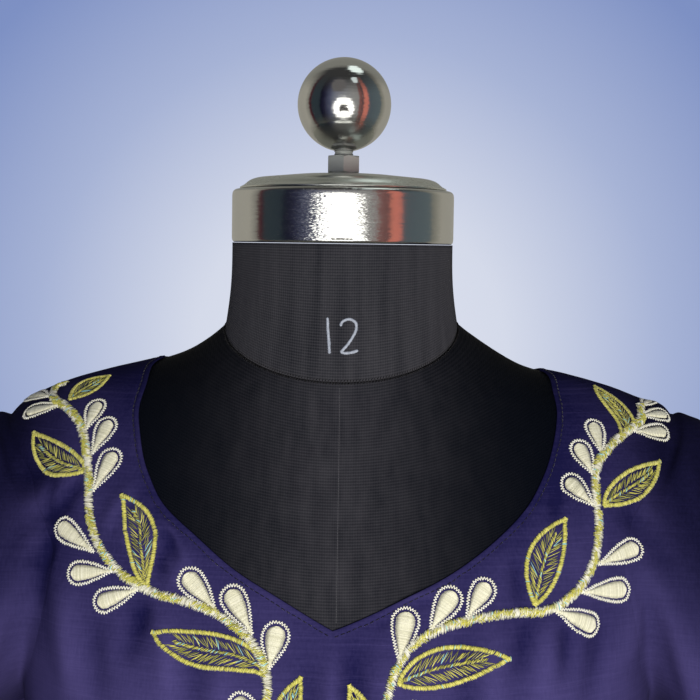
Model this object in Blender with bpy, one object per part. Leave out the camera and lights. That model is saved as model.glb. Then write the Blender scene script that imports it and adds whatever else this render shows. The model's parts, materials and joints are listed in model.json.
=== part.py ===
"""A navy kurti, worn by a limbless dress form on a round stand.

All sizes are in millimetres until a mesh is made. X runs to the right, the front faces -Y, Z is up, and the
stand's underside is at Z = 0, centred on the origin.
"""

import math
from collections import namedtuple

import bmesh
import bpy
import numpy as np

MM = 0.001
SEAM_GAP = 0.3
WALL = 1.4
SHARP_ANGLE = 40.0

# Heights of the stand and of the dress form's hard parts.
BASE_RADIUS = 215.0
BASE_RIM = 5.0
BASE_CROWN = 16.0
POLE_RADIUS = 16.0
COLLAR_RADIUS = 30.0
COLLAR_TOP = 46.0
SOCKET_RADIUS = 42.0
SOCKET_BOTTOM = 742.0
FORM_BOTTOM = 760.0
NECK_TOP = 1480.0
NECK_TOP_RADIUS = 57.2
CAP_RADIUS = 57.5
CAP_BAND_TOP = 1507.5
LID_RADIUS = 53.5
LID_FLAT_RADIUS = 46.0
LID_TOP = 1513.5
NUT_FLATS = 16.0
NUT_HEIGHT = 9.0
STUD_RADIUS = 5.0
STUD_PITCH = 1.5
BALL_RADIUS = 24.2
BALL_CENTRE = 1551.8

# Garment edges that are not read from a table.
HEM = 380.0
SLIT_TOP = 800.0
SLIT_SPREAD = 3.0
SIDE_TURN = 90.0

Section = namedtuple("Section", "side_z half_width front_z front back_z back")
Ease = namedtuple("Ease", "side front back")
NeckPoint = namedtuple("NeckPoint", "z left right")
ArmholePoint = namedtuple("ArmholePoint", "front_turn front_row back_turn back_row")
SleeveRing = namedtuple(
    "SleeveRing", "top_x top_z under_x under_z front_x front_y front_z back_x back_y back_z own_shape reach"
)
Fold = namedtuple("Fold", "turn width depth top reach")

# The dress form from the base of its neck to its hips. Each row is one level line: its height and its reach
# from the neck's axis at the sides, at the centre front and at the centre back.
FORM_SECTIONS = [
    Section(1439.0, 60.5, 1413.0, 60.0, 1447.0, 61.0),
    Section(1435.0, 66.0, 1409.0, 61.0, 1443.5, 62.5),
    Section(1429.0, 75.5, 1403.0, 62.2, 1438.0, 65.0),
    Section(1424.5, 84.0, 1397.0, 63.7, 1432.0, 68.0),
    Section(1420.0, 94.5, 1390.0, 65.7, 1425.0, 72.0),
    Section(1416.5, 105.0, 1382.5, 68.0, 1417.0, 76.0),
    Section(1413.0, 117.0, 1374.0, 71.0, 1408.0, 80.5),
    Section(1409.0, 130.0, 1364.5, 74.5, 1398.0, 85.0),
    Section(1404.5, 143.0, 1354.0, 78.5, 1387.0, 90.0),
    Section(1399.5, 154.0, 1342.0, 83.3, 1374.0, 95.0),
    Section(1393.0, 163.5, 1328.0, 89.0, 1358.0, 100.5),
    Section(1382.0, 170.0, 1311.0, 95.5, 1340.0, 105.0),
    Section(1365.0, 172.0, 1292.0, 103.0, 1318.0, 108.5),
    Section(1340.0, 170.5, 1271.0, 111.0, 1294.0, 110.5),
    Section(1308.0, 165.5, 1250.0, 118.5, 1268.0, 111.0),
    Section(1272.0, 160.0, 1228.0, 126.0, 1240.0, 110.0),
    Section(1236.0, 157.0, 1205.0, 132.5, 1212.0, 108.0),
    Section(1200.0, 156.5, 1182.0, 136.0, 1185.0, 105.0),
]
FORM_WAIST_AND_HIPS = [
    Section(1150.0, 151.0, 1150.0, 134.0, 1150.0, 103.0),
    Section(1110.0, 140.0, 1110.0, 123.0, 1110.0, 101.0),
    Section(1060.0, 128.0, 1060.0, 110.0, 1060.0, 97.0),
    Section(1020.0, 124.0, 1020.0, 105.0, 1020.0, 97.0),
    Section(970.0, 131.0, 970.0, 107.0, 970.0, 104.0),
    Section(915.0, 150.0, 915.0, 114.0, 915.0, 121.0),
    Section(860.0, 165.0, 860.0, 122.0, 860.0, 139.0),
    Section(810.0, 171.0, 810.0, 125.0, 810.0, 147.0),
    Section(772.0, 168.0, 772.0, 122.0, 772.0, 144.0),
    Section(FORM_BOTTOM, 156.0, FORM_BOTTOM, 110.0, FORM_BOTTOM, 132.0),
]

# How far the cloth's outer face stands off the form, one row for each of FORM_SECTIONS.
EASES = 8 * [Ease(2.0, 2.0, 2.0)] + [
    Ease(2.2, 2.0, 2.2),
    Ease(2.6, 2.0, 2.4),
    Ease(3.6, 2.0, 2.6),
    Ease(5.0, 2.1, 3.0),
    Ease(6.0, 2.4, 3.4),
    Ease(6.0, 3.0, 4.0),
    Ease(6.0, 3.6, 4.5),
    Ease(6.0, 4.4, 5.0),
    Ease(6.0, 5.0, 6.0),
    Ease(6.0, 5.5, 7.0),
]
# The cloth's own level lines, below the bust, where it hangs clear of the form.
SKIRT_SECTIONS = [
    Section(1160.0, 163.0, 1160.0, 143.5, 1160.0, 113.5),
    Section(1120.0, 160.0, 1120.0, 144.0, 1120.0, 114.0),
    Section(1080.0, 157.5, 1080.0, 143.0, 1080.0, 114.5),
    Section(1045.0, 156.5, 1045.0, 142.0, 1045.0, 116.0),
    Section(1015.0, 156.5, 1015.0, 141.0, 1015.0, 119.0),
    Section(980.0, 158.0, 980.0, 141.0, 980.0, 124.0),
    Section(940.0, 163.0, 940.0, 141.5, 940.0, 132.0),
    Section(895.0, 172.0, 895.0, 142.5, 895.0, 141.0),
    Section(855.0, 180.0, 855.0, 144.0, 855.0, 148.0),
    Section(820.0, 185.0, 820.0, 145.5, 820.0, 153.0),
    Section(770.0, 190.0, 770.0, 147.5, 770.0, 156.0),
    Section(700.0, 197.0, 700.0, 150.5, 700.0, 158.0),
    Section(620.0, 206.0, 620.0, 154.0, 620.0, 160.0),
    Section(540.0, 215.0, 540.0, 158.0, 540.0, 163.0),
    Section(460.0, 224.0, 460.0, 162.0, 460.0, 166.0),
    Section(HEM, 232.0, HEM, 166.0, HEM, 170.0),
]
# Level lines over which the ridge of the shoulder rounds over, from the base of the neck outwards.
RIDGE_ROWS = 4.0

# Where the form starts to draw in under the cloth, past what the neckline leaves bare.
FORM_SHOWN_WIDTH = 84.0
FORM_SHOWN_FRONT = 1302.0
FORM_SHOWN_BACK = 1425.0
FORM_PULL_REACH = 14.0
FORM_PULL = 1.7

BUST_TURN = 38.0
BUST_SPREAD = 20.0
BUST_HEIGHT = 1185.0
BUST_TALL = 50.0
BUST_DEPTH = 8.0

# The front neckline, from the shoulder seams down to its point: left and right edge at each height.
NECKLINE = [
    NeckPoint(1410.0, -98.0, 108.0),
    NeckPoint(1398.0, -100.0, 108.5),
    NeckPoint(1385.0, -97.5, 105.5),
    NeckPoint(1370.0, -92.5, 99.5),
    NeckPoint(1356.0, -84.0, 90.5),
    NeckPoint(1342.0, -67.0, 75.5),
    NeckPoint(1329.0, -50.0, 57.0),
    NeckPoint(1316.0, -27.0, 31.0),
    NeckPoint(1302.5, -1.5, -1.5),
]
NECK_AT_SHOULDER = NeckPoint(1420.0, -92.5, 104.5)
SHOULDER_STEP = 0.01
BACK_NECK_BOTTOM = 1391.0
BACK_NECK_POINTS = 8
FRONT_ROW_SAG = 1.1

# The armhole, from the shoulder's tip to the underarm: turn from the centre line in degrees, and place down
# the level lines, on the front panel and on the back panel.
ARMHOLE = [
    ArmholePoint(90.0, 10.55, 90.0, 10.55),
    ArmholePoint(65.0, 10.95, 69.0, 11.1),
    ArmholePoint(54.5, 11.6, 61.5, 12.0),
    ArmholePoint(51.0, 12.4, 59.0, 12.9),
    ArmholePoint(54.0, 13.4, 61.0, 13.8),
    ArmholePoint(64.0, 14.7, 70.0, 15.0),
    ArmholePoint(90.0, 16.2, 90.0, 16.2),
]

# The right sleeve, ring by ring from just past the armhole to the cuff: the points of its top (outer) line,
# underarm (inner) line, front fold and back fold. The first rings are still partly the armhole's own loop,
# moved outwards by reach; own_shape is 1 once that has worn off. The left sleeve is the mirror image.
SLEEVE_RINGS = [
    SleeveRing(180.0, 1391.5, 166.5, 1225.0, 153.0, -72.0, 1319.0, 160.0, 59.0, 1322.0, 0.2, 8.0),
    SleeveRing(188.5, 1388.5, 169.5, 1219.0, 166.0, -77.0, 1306.0, 170.0, 65.0, 1309.0, 0.45, 16.0),
    SleeveRing(196.0, 1379.0, 172.0, 1211.0, 176.0, -81.0, 1289.0, 179.0, 71.0, 1292.0, 0.7, 24.0),
    SleeveRing(202.5, 1361.0, 173.5, 1201.0, 183.0, -84.0, 1267.0, 185.0, 76.0, 1269.0, 0.88, 30.0),
    SleeveRing(207.5, 1334.0, 174.5, 1188.0, 187.5, -86.0, 1242.0, 189.0, 79.0, 1243.0, 1.0, 0.0),
    SleeveRing(210.5, 1299.0, 175.0, 1172.0, 190.5, -87.0, 1216.0, 191.0, 81.0, 1216.0, 1.0, 0.0),
    SleeveRing(212.0, 1258.0, 175.0, 1153.0, 192.0, -86.5, 1187.0, 192.5, 81.0, 1187.0, 1.0, 0.0),
    SleeveRing(212.5, 1212.0, 174.5, 1130.0, 193.0, -85.0, 1155.0, 193.5, 79.5, 1155.0, 1.0, 0.0),
    SleeveRing(212.0, 1163.0, 174.0, 1103.0, 193.0, -82.5, 1120.0, 193.5, 77.0, 1120.0, 1.0, 0.0),
    SleeveRing(210.5, 1113.0, 174.0, 1072.0, 192.0, -79.0, 1084.0, 192.5, 73.5, 1084.0, 1.0, 0.0),
    SleeveRing(208.0, 1062.0, 174.5, 1037.0, 191.0, -75.5, 1045.0, 191.5, 70.0, 1045.0, 1.0, 0.0),
    SleeveRing(205.5, 1011.0, 175.0, 1000.0, 190.0, -71.5, 1004.0, 190.5, 66.0, 1004.0, 1.0, 0.0),
    SleeveRing(203.0, 962.0, 175.5, 962.0, 189.0, -67.5, 962.0, 189.5, 62.0, 962.0, 1.0, 0.0),
]
SLEEVE_FOLDS = [
    Fold(42.0, 15.0, -5.0, 1310.0, 150.0),
    Fold(-34.0, 17.0, -5.5, 1290.0, 170.0),
    Fold(150.0, 17.0, -3.5, 1150.0, 120.0),
]

# The skirt's flutes. A turn under 90 is on the front, one over 90 on the back; depth is out of the cloth at
# the hem, top is where the flute starts and reach how far below that it takes to come up to full depth.
SKIRT_FOLDS = [
    Fold(-60.0, 12.0, 20.0, 980.0, 620.0),
    Fold(-25.0, 11.0, 14.0, 860.0, 500.0),
    Fold(7.0, 11.0, -9.0, 900.0, 520.0),
    Fold(34.0, 11.0, 18.0, 940.0, 580.0),
    Fold(69.0, 12.0, 17.0, 1000.0, 640.0),
    Fold(112.0, 12.0, 18.0, 980.0, 620.0),
    Fold(145.0, 12.0, 15.0, 920.0, 560.0),
    Fold(180.0, 12.0, -10.0, 940.0, 540.0),
    Fold(-142.0, 12.0, 17.0, 900.0, 540.0),
    Fold(-108.0, 12.0, 20.0, 1000.0, 640.0),
]

# How finely the cloth is divided.
PANEL_COLUMNS = 11
NECK_ROWS = 11
BACK_NECK_ROWS = 5
BODICE_ROWS = 8
SKIRT_ROWS = 14
SLEEVE_SIDES = 2 * NECK_ROWS
FORM_SIDES = 32

Finish = namedtuple("Finish", "colour roughness metallic")
CLOTH = Finish((0.036, 0.034, 0.110), 0.55, 0.0)
MESH_FABRIC = Finish((0.012, 0.012, 0.014), 0.85, 0.0)
CHROME = Finish((0.62, 0.62, 0.60), 0.12, 1.0)
ZINC = Finish((0.45, 0.46, 0.46), 0.35, 1.0)
BLACK_STEEL = Finish((0.02, 0.02, 0.022), 0.4, 0.0)


def clear_scene():
    """Remove every object that the file starts with."""
    for thing in list(bpy.data.objects):
        bpy.data.objects.remove(thing, do_unlink=True)


def make_material(name, finish):
    """Return a Principled material with one finish."""
    material = bpy.data.materials.new(name)
    material.use_nodes = True
    shader = material.node_tree.nodes["Principled BSDF"]
    shader.inputs["Base Color"].default_value = (*finish.colour, 1.0)
    shader.inputs["Roughness"].default_value = finish.roughness
    shader.inputs["Metallic"].default_value = finish.metallic
    material.diffuse_color = (*finish.colour, 1.0)
    return material


def add_mesh(name, points, faces, finish):
    """Make one object from points in millimetres, with every face pointing out."""
    mesh = bpy.data.meshes.new(name)
    mesh.from_pydata([tuple(MM * value for value in point) for point in points], [], faces)
    mesh.validate()
    work = bmesh.new()
    work.from_mesh(mesh)
    bmesh.ops.recalc_face_normals(work, faces=work.faces)
    work.to_mesh(mesh)
    work.free()
    mesh.materials.append(make_material(name, finish))
    mesh.shade_smooth()
    mesh.set_sharp_from_angle(angle=math.radians(SHARP_ANGLE))
    bpy.context.scene.collection.objects.link(bpy.data.objects.new(name, mesh))


def smooth_step(value):
    """Ease from 0 to 1 as value goes from 0 to 1."""
    value = np.clip(value, 0.0, 1.0)
    return value * value * (3.0 - 2.0 * value)


class SmoothTable:
    """A smooth curve through the rows of a table, column by column, that never overshoots a row."""

    def __init__(self, places, rows):
        self.places = np.asarray(places, float)
        self.rows = np.asarray(rows, float)
        steps = np.diff(self.places)[:, None]
        rises = np.diff(self.rows, axis=0) / steps
        self.slopes = np.zeros_like(self.rows)
        self.slopes[0], self.slopes[-1] = rises[0], rises[-1]
        before = 2.0 * steps[1:] + steps[:-1]
        after = steps[1:] + 2.0 * steps[:-1]
        same_way = rises[:-1] * rises[1:] > 0.0
        first = np.where(same_way, rises[:-1], 1.0)
        second = np.where(same_way, rises[1:], 1.0)
        self.slopes[1:-1] = np.where(same_way, (before + after) / (before / first + after / second), 0.0)

    def at(self, place):
        """The row of values at one place."""
        i = int(np.clip(np.searchsorted(self.places, place, side="right") - 1, 0, len(self.places) - 2))
        step = self.places[i + 1] - self.places[i]
        t = (place - self.places[i]) / step
        return (
            (2 * t**3 - 3 * t**2 + 1) * self.rows[i]
            + (t**3 - 2 * t**2 + t) * step * self.slopes[i]
            + (-2 * t**3 + 3 * t**2) * self.rows[i + 1]
            + (t**3 - t**2) * step * self.slopes[i + 1]
        )


def grow_sections(sections, eases):
    """Move each section out, square to the side, front and back outlines, by its ease."""
    table = np.array(sections)
    grown = table.copy()
    for column, ease in zip((0, 2, 4), np.array(eases).T):
        fall = np.gradient(table[:, column])
        reach = np.gradient(table[:, column + 1])
        length = np.hypot(fall, reach)
        grown[:, column] += ease * reach / length
        grown[:, column + 1] -= ease * fall / length
    return [Section(*row) for row in grown]


def section_table(sections):
    """A smooth table of level lines, placed by their row numbers."""
    return SmoothTable(range(len(sections)), sections)


# Steps over which a surface's slopes are measured.
SMALL_TURN = 0.4
SMALL_ROW = 0.02

FORM_TABLE = section_table(FORM_SECTIONS + FORM_WAIST_AND_HIPS)
FORM_LAST_ROW = len(FORM_TABLE.rows) - 1
CLOTH_TABLE = section_table(grow_sections(FORM_SECTIONS, EASES) + SKIRT_SECTIONS)
LAST_ROW = len(CLOTH_TABLE.rows) - 1


def body_point(table, turn, row):
    """Point of a body surface: turn is 0 at centre front, 90 at the right side and 180 at centre back."""
    section = Section(*table.at(row))
    angle = math.radians(turn)
    across, forward = math.sin(angle), math.cos(angle)
    blend = abs(forward) ** min(1.0 + row / RIDGE_ROWS, 2.0)
    edge_z, reach = (section.front_z, section.front) if forward > 0.0 else (section.back_z, section.back)
    z = section.side_z + (edge_z - section.side_z) * blend
    y = -reach * forward
    if forward > 0.0:
        beside = (abs(turn) - BUST_TURN) / BUST_SPREAD
        y -= BUST_DEPTH * math.exp(-(beside**2) - ((z - BUST_HEIGHT) / BUST_TALL) ** 2)
    return np.array((section.half_width * across, y, z))


def surface_normal(surface, turn, row):
    """Unit normal of a surface of two coordinates, pointing out of the body."""
    along = surface(turn + SMALL_TURN, row) - surface(turn - SMALL_TURN, row)
    down = surface(turn, row + SMALL_ROW) - surface(turn, row - SMALL_ROW)
    normal = np.cross(down, along)
    return normal / np.linalg.norm(normal)


def fold_height(folds, turn, z):
    """How far the folds push the cloth out at a turn and a height."""
    height = 0.0
    for fold in folds:
        aside = (turn - fold.turn + 180.0) % 360.0 - 180.0
        growth = smooth_step((fold.top - z) / fold.reach)
        height += fold.depth * growth * math.exp(-((aside / fold.width) ** 2))
    return height


def cloth_point(turn, row):
    """Point of the kurti's outer face, folds included."""
    point = body_point(CLOTH_TABLE, turn, row)
    height = fold_height(SKIRT_FOLDS, turn, point[2])
    flat = np.array((point[0], point[1], 0.0))
    return point + height * flat / np.linalg.norm(flat)


def find_row(turn_of_row, z):
    """The row at which a line down the cloth reaches height z; turn_of_row gives the line's turn at a row."""
    low, high = 0.0, float(LAST_ROW)
    for _ in range(40):
        middle = 0.5 * (low + high)
        if body_point(CLOTH_TABLE, turn_of_row(middle), middle)[2] > z:
            low = middle
        else:
            high = middle
    return 0.5 * (low + high)


def place_on_panel(x, z, on_front):
    """Turn and row of the point of the front or the back at x and z."""

    def turn_at(row):
        half_width = Section(*CLOTH_TABLE.at(row)).half_width
        turn = math.degrees(math.asin(max(-1.0, min(1.0, x / half_width))))
        return turn if on_front else math.copysign(180.0, x) - turn

    row = find_row(turn_at, z)
    return turn_at(row), row


def shoulder_place(side):
    """Turn and row of the neckline's end on the shoulder seam."""
    shoulder_x = abs(NECK_AT_SHOULDER.left if side < 0 else NECK_AT_SHOULDER.right)
    row = 0.0
    while Section(*CLOTH_TABLE.at(row)).half_width < shoulder_x:
        row += SHOULDER_STEP
    return side * SIDE_TURN, row


def front_neckline(side):
    """Turn and row of the front neckline's points, from one shoulder seam to its point at the centre."""
    line = [shoulder_place(side)]
    for point in NECKLINE:
        line.append(place_on_panel(point.left if side < 0 else point.right, point.z, True))
    return line


def back_neckline(side):
    """Turn and row of the back neckline's points: a quarter of an oval from the shoulder seam to the centre."""
    turn, row = shoulder_place(side)
    start = body_point(CLOTH_TABLE, turn, row)
    line = [(turn, row)]
    for i in range(1, BACK_NECK_POINTS + 1):
        angle = math.radians(90.0 * i / BACK_NECK_POINTS)
        x = start[0] * math.cos(angle) if i < BACK_NECK_POINTS else side * 0.001
        z = start[2] + (BACK_NECK_BOTTOM - start[2]) * math.sin(angle)
        line.append(place_on_panel(x, z, False))
    return line


def walk_line(line, share):
    """Turn and row at a share of a line's real length."""
    lengths = [0.0]
    for before, after in zip(line, line[1:]):
        lengths.append(lengths[-1] + float(np.linalg.norm(cloth_point(*after) - cloth_point(*before))))
    at = share * lengths[-1]
    turn, row = SmoothTable(lengths, line).at(at)
    return turn, row


def armhole_line(side, on_front):
    """Turn and row of the armhole's points on one panel, from the shoulder's tip to the underarm."""
    if on_front:
        return [(side * point.front_turn, point.front_row) for point in ARMHOLE]
    return [(side * (180.0 - point.back_turn), point.back_row) for point in ARMHOLE]


def seam_shift(side, row, on_front):
    """Turn in degrees that opens half of the seam's gap at the side and along the shoulder."""
    section = Section(*CLOTH_TABLE.at(row))
    half_gap = math.degrees(0.5 * SEAM_GAP / (section.front if on_front else section.back))
    return half_gap * (-side if on_front else side)


def slit_turn(row):
    """How far the slit has opened at a row, in degrees to each side of the side seam."""
    z = Section(*CLOTH_TABLE.at(row)).side_z
    return SLIT_SPREAD * smooth_step((SLIT_TOP - z) / (SLIT_TOP - HEM))


class Panel:
    """The front or the back: a grid of places on the cloth's surface that becomes a wall."""

    def __init__(self, name, on_front):
        self.name = name
        self.on_front = on_front
        self.neck_rows = NECK_ROWS if on_front else BACK_NECK_ROWS
        neckline = front_neckline if on_front else back_neckline
        self.necklines = {side: neckline(side) for side in (-1, 1)}
        self.places = []
        self.normals = []
        self.index = {}
        self.faces = []

    def inner_place(self, side, row_index):
        """Turn and row of the panel's inner end of a row: on the neckline, then down the centre line."""
        if row_index <= self.neck_rows:
            return walk_line(self.necklines[side], row_index / self.neck_rows)
        edge_turn, start_row = self.inner_place(side, self.neck_rows)
        rows_left = self.body_rows() - self.neck_rows
        share = (row_index - self.neck_rows) / rows_left
        level = self.level_row(row_index)
        blend = smooth_step((row_index - self.neck_rows) / BODICE_ROWS)
        straight = start_row + (LAST_ROW - start_row) * share
        rest_turn = 0.0 if self.on_front else 180.0 * side
        return rest_turn + (edge_turn - rest_turn) * (1.0 - blend), straight + (level - straight) * blend

    def body_rows(self):
        """Number of rows of cells from the shoulder to the hem."""
        return NECK_ROWS + BODICE_ROWS + SKIRT_ROWS

    def level_row(self, row_index):
        """The level line that a row of the lower part follows."""
        underarm = ARMHOLE[-1].front_row
        steps = self.body_rows() - NECK_ROWS
        return underarm + (LAST_ROW - underarm) * (row_index - NECK_ROWS) / steps

    def outer_place(self, side, row_index):
        """Turn and row of a row's outer end: on the armhole, then down the side seam and the slit."""
        if row_index <= NECK_ROWS:
            line = armhole_line(side, self.on_front)
            turn, row = walk_line(line, row_index / NECK_ROWS)
            on_seam = row_index in (0, NECK_ROWS)
            return turn + (seam_shift(side, row, self.on_front) if on_seam else 0.0), row
        row = self.level_row(row_index)
        opening = slit_turn(row) * (-side if self.on_front else side)
        return side * SIDE_TURN + seam_shift(side, row, self.on_front) + opening, row

    def row_sag(self, row_index):
        """How far the middle of a row dips below the straight line between its ends, in level lines."""
        if not self.on_front:
            return 0.0
        if row_index <= NECK_ROWS:
            return FRONT_ROW_SAG * (row_index / NECK_ROWS) ** 1.5
        return FRONT_ROW_SAG * (1.0 - smooth_step((row_index - NECK_ROWS) / BODICE_ROWS))

    def add_place(self, key, turn, row, on_seam):
        """Add a vertex's place, once for each key, with the direction of the wall's thickness."""
        if key not in self.index:
            self.index[key] = len(self.places)
            self.places.append((turn, row))
            normal = surface_normal(cloth_point, turn, row)
            if on_seam:
                normal[1] = 0.0
                normal /= np.linalg.norm(normal)
            self.normals.append(normal)
        return self.index[key]

    def fill_half(self, side):
        """Lay out one half of the panel, from its inner edge to the armhole and side seam."""
        for i in range(self.body_rows() + 1):
            inner_turn, inner_row = self.inner_place(side, i)
            outer_turn, outer_row = self.outer_place(side, i)
            sag = self.row_sag(i)
            for j in range(PANEL_COLUMNS + 1):
                share = j / PANEL_COLUMNS
                row = inner_row + (outer_row - inner_row) * share + sag * math.sin(math.pi * share)
                turn = inner_turn + (outer_turn - inner_turn) * share
                if i == 0:
                    turn = side * SIDE_TURN + seam_shift(side, row, self.on_front)
                shared = j == 0 and i >= self.neck_rows
                key = (i, 0) if shared else (i, side * (j + 1))
                on_seam = i == 0 or (j == PANEL_COLUMNS and i >= NECK_ROWS)
                self.add_place(key, turn, row, on_seam)
        for i in range(self.body_rows()):
            for j in range(PANEL_COLUMNS):
                corners = [(i, j), (i + 1, j), (i + 1, j + 1), (i, j + 1)]
                keys = [(a, 0) if b == 0 and a >= self.neck_rows else (a, side * (b + 1)) for a, b in corners]
                face = [self.index[key] for key in keys]
                self.faces.append(face if side > 0 else face[::-1])

    def build(self):
        """Make the panel's wall."""
        for side in (-1, 1):
            self.fill_half(side)
        outer = [cloth_point(turn, row) for turn, row in self.places]
        add_wall(self.name, outer, self.normals, self.faces)


def split_faces(points, faces):
    """Cut four-sided faces in two along their shorter diagonal."""
    triangles = []
    for a, b, c, d in faces:
        if np.linalg.norm(points[a] - points[c]) <= np.linalg.norm(points[b] - points[d]):
            triangles += [[a, b, c], [a, c, d]]
        else:
            triangles += [[a, b, d], [b, c, d]]
    return triangles


def add_wall(name, outer, normals, faces):
    """Make a closed wall from its outer face: inner points lie one wall's thickness in."""
    count = len(outer)
    faces = split_faces(outer, faces)
    inner = [point - WALL * normal for point, normal in zip(outer, normals)]
    used = {}
    for face in faces:
        for a, b in zip(face, face[1:] + face[:1]):
            used[(a, b)] = True
    rim = [(b, a, a + count, b + count) for a, b in used if (b, a) not in used]
    inside = [tuple(index + count for index in reversed(face)) for face in faces]
    add_mesh(name, outer + inner, [tuple(face) for face in faces] + inside + rim, CLOTH)


def armhole_ring(side, gap):
    """Points round an armhole, moved off the panels' edge by the seam's gap."""
    points, normals = [], []
    for i in range(SLEEVE_SIDES):
        share = 2.0 * i / SLEEVE_SIDES
        on_front = share <= 1.0
        walk = share if on_front else 2.0 - share
        line = armhole_line(side, on_front)
        place = walk_line(line, walk)
        point = cloth_point(*place)
        points.append(point)
        normals.append(surface_normal(cloth_point, *place))
    centre = np.mean(points, axis=0)
    moved = []
    for i, (point, normal) in enumerate(zip(points, normals)):
        along = points[(i + 1) % SLEEVE_SIDES] - points[i - 1]
        inward = np.cross(along, normal)
        inward /= np.linalg.norm(inward)
        inward *= 1.0 if np.dot(inward, centre - point) > 0.0 else -1.0
        moved.append(point + gap * inward)
    return moved


def sleeve_ring_point(ring, side, turn):
    """Point of a sleeve's ring: turn 0 is its top line, 90 its front fold, 180 its underarm line."""
    top = np.array((ring.top_x, 0.0, ring.top_z))
    under = np.array((ring.under_x, 0.0, ring.under_z))
    front = np.array((ring.front_x, ring.front_y, ring.front_z))
    back = np.array((ring.back_x, ring.back_y, ring.back_z))
    centre = 0.5 * (top + under)
    angle = math.radians(turn)
    point = centre + (top - centre) * math.cos(angle)
    fold = front if math.sin(angle) > 0.0 else back
    point = point + (fold - centre) * abs(math.sin(angle))
    point[0] *= side
    return point


def build_sleeve(name, side):
    """Make one sleeve: a tube that leaves the armhole, turns down and hangs empty."""
    first = armhole_ring(side, SEAM_GAP)
    rings = [first]
    for ring in SLEEVE_RINGS:
        points = []
        for i in range(SLEEVE_SIDES):
            turn = 360.0 * i / SLEEVE_SIDES
            own = sleeve_ring_point(ring, side, turn)
            carried = first[i] + np.array((side * ring.reach, 0.0, 0.0))
            point = carried + (own - carried) * ring.own_shape
            centre = sleeve_ring_point(ring, side, 0.0) + sleeve_ring_point(ring, side, 180.0)
            out = point - 0.5 * centre
            out[2] = 0.0
            height = fold_height(SLEEVE_FOLDS, turn, point[2])
            points.append(point + height * out / max(np.linalg.norm(out), 1.0))
        rings.append(points)
    outer = [point for ring in rings for point in ring]
    faces = []
    for j in range(len(rings) - 1):
        for i in range(SLEEVE_SIDES):
            after = (i + 1) % SLEEVE_SIDES
            a, b = j * SLEEVE_SIDES, (j + 1) * SLEEVE_SIDES
            face = [a + i, a + after, b + after, b + i]
            faces.append(face if side > 0 else face[::-1])
    add_wall(name, outer, grid_normals(outer, faces), faces)


def grid_normals(points, faces):
    """Unit normals at the points of a sheet, from the faces that meet there."""
    totals = np.zeros((len(points), 3))
    for face in faces:
        a, b, c, d = (points[index] for index in face)
        area = np.cross(c - a, d - b)
        for index in face:
            totals[index] += area
    return [total / np.linalg.norm(total) for total in totals]


def hidden_pull(point):
    """How far the form is drawn in where the cloth covers it, so that the cloth lies clear of it."""
    beside = (abs(point[0]) - FORM_SHOWN_WIDTH) / FORM_PULL_REACH
    edge = FORM_SHOWN_BACK if point[1] > 0.0 else FORM_SHOWN_FRONT
    below = (edge - point[2]) / FORM_PULL_REACH
    off_the_socket = smooth_step((point[2] - FORM_BOTTOM) / FORM_PULL_REACH)
    return FORM_PULL * smooth_step(max(beside, below)) * off_the_socket


def form_point(turn, row):
    """Point of the dress form's surface."""
    return body_point(FORM_TABLE, turn, row)


def build_form_torso():
    """Make the padded torso, from the base of the neck to the hips, closed at both ends."""
    rows = FORM_LAST_ROW + 1
    points = []
    for row in range(rows):
        for i in range(FORM_SIDES):
            turn = 360.0 * i / FORM_SIDES - 180.0 + 0.001
            point = form_point(turn, row)
            normal = surface_normal(form_point, turn, min(max(row, SMALL_ROW), FORM_LAST_ROW - SMALL_ROW))
            points.append(point - hidden_pull(point) * normal)
    faces = []
    for j in range(rows - 1):
        for i in range(FORM_SIDES):
            after = (i + 1) % FORM_SIDES
            a, b = j * FORM_SIDES, (j + 1) * FORM_SIDES
            faces.append((a + i, b + i, b + after, a + after))
    close_ring(points, faces, 0, -4.0)
    close_ring(points, faces, (rows - 1) * FORM_SIDES, 0.0)
    add_mesh("form_torso", points, faces, MESH_FABRIC)


def close_ring(points, faces, start, rise):
    """Close the ring of points that begins at start with a fan round its middle."""
    ring = points[start : start + FORM_SIDES]
    centre = np.mean(ring, axis=0)
    centre[2] += rise
    points.append(centre)
    middle = len(points) - 1
    for i in range(FORM_SIDES):
        faces.append((start + i, start + (i + 1) % FORM_SIDES, middle))


def build_form_neck():
    """Make the neck: a drum on the torso's slanted top line, flared a little to meet it."""
    rows = 5
    points = []
    for j in range(rows + 1):
        share = j / rows
        for i in range(FORM_SIDES):
            turn = 360.0 * i / FORM_SIDES - 180.0 + 0.001
            seam = form_point(turn, 0.0)
            seam[2] += SEAM_GAP
            angle = math.radians(turn)
            top = np.array((NECK_TOP_RADIUS * math.sin(angle), -NECK_TOP_RADIUS * math.cos(angle), NECK_TOP))
            point = seam + (top - seam) * share
            waist = 1.0 - 0.018 * math.sin(math.pi * share)
            points.append(np.array((point[0] * waist, point[1] * waist, point[2])))
    faces = []
    for j in range(rows):
        for i in range(FORM_SIDES):
            after = (i + 1) % FORM_SIDES
            a, b = j * FORM_SIDES, (j + 1) * FORM_SIDES
            faces.append((a + i, a + after, b + after, b + i))
    close_ring(points, faces, 0, -3.6)
    close_ring(points, faces, rows * FORM_SIDES, 0.0)
    add_mesh("form_neck", points, faces, MESH_FABRIC)


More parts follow.
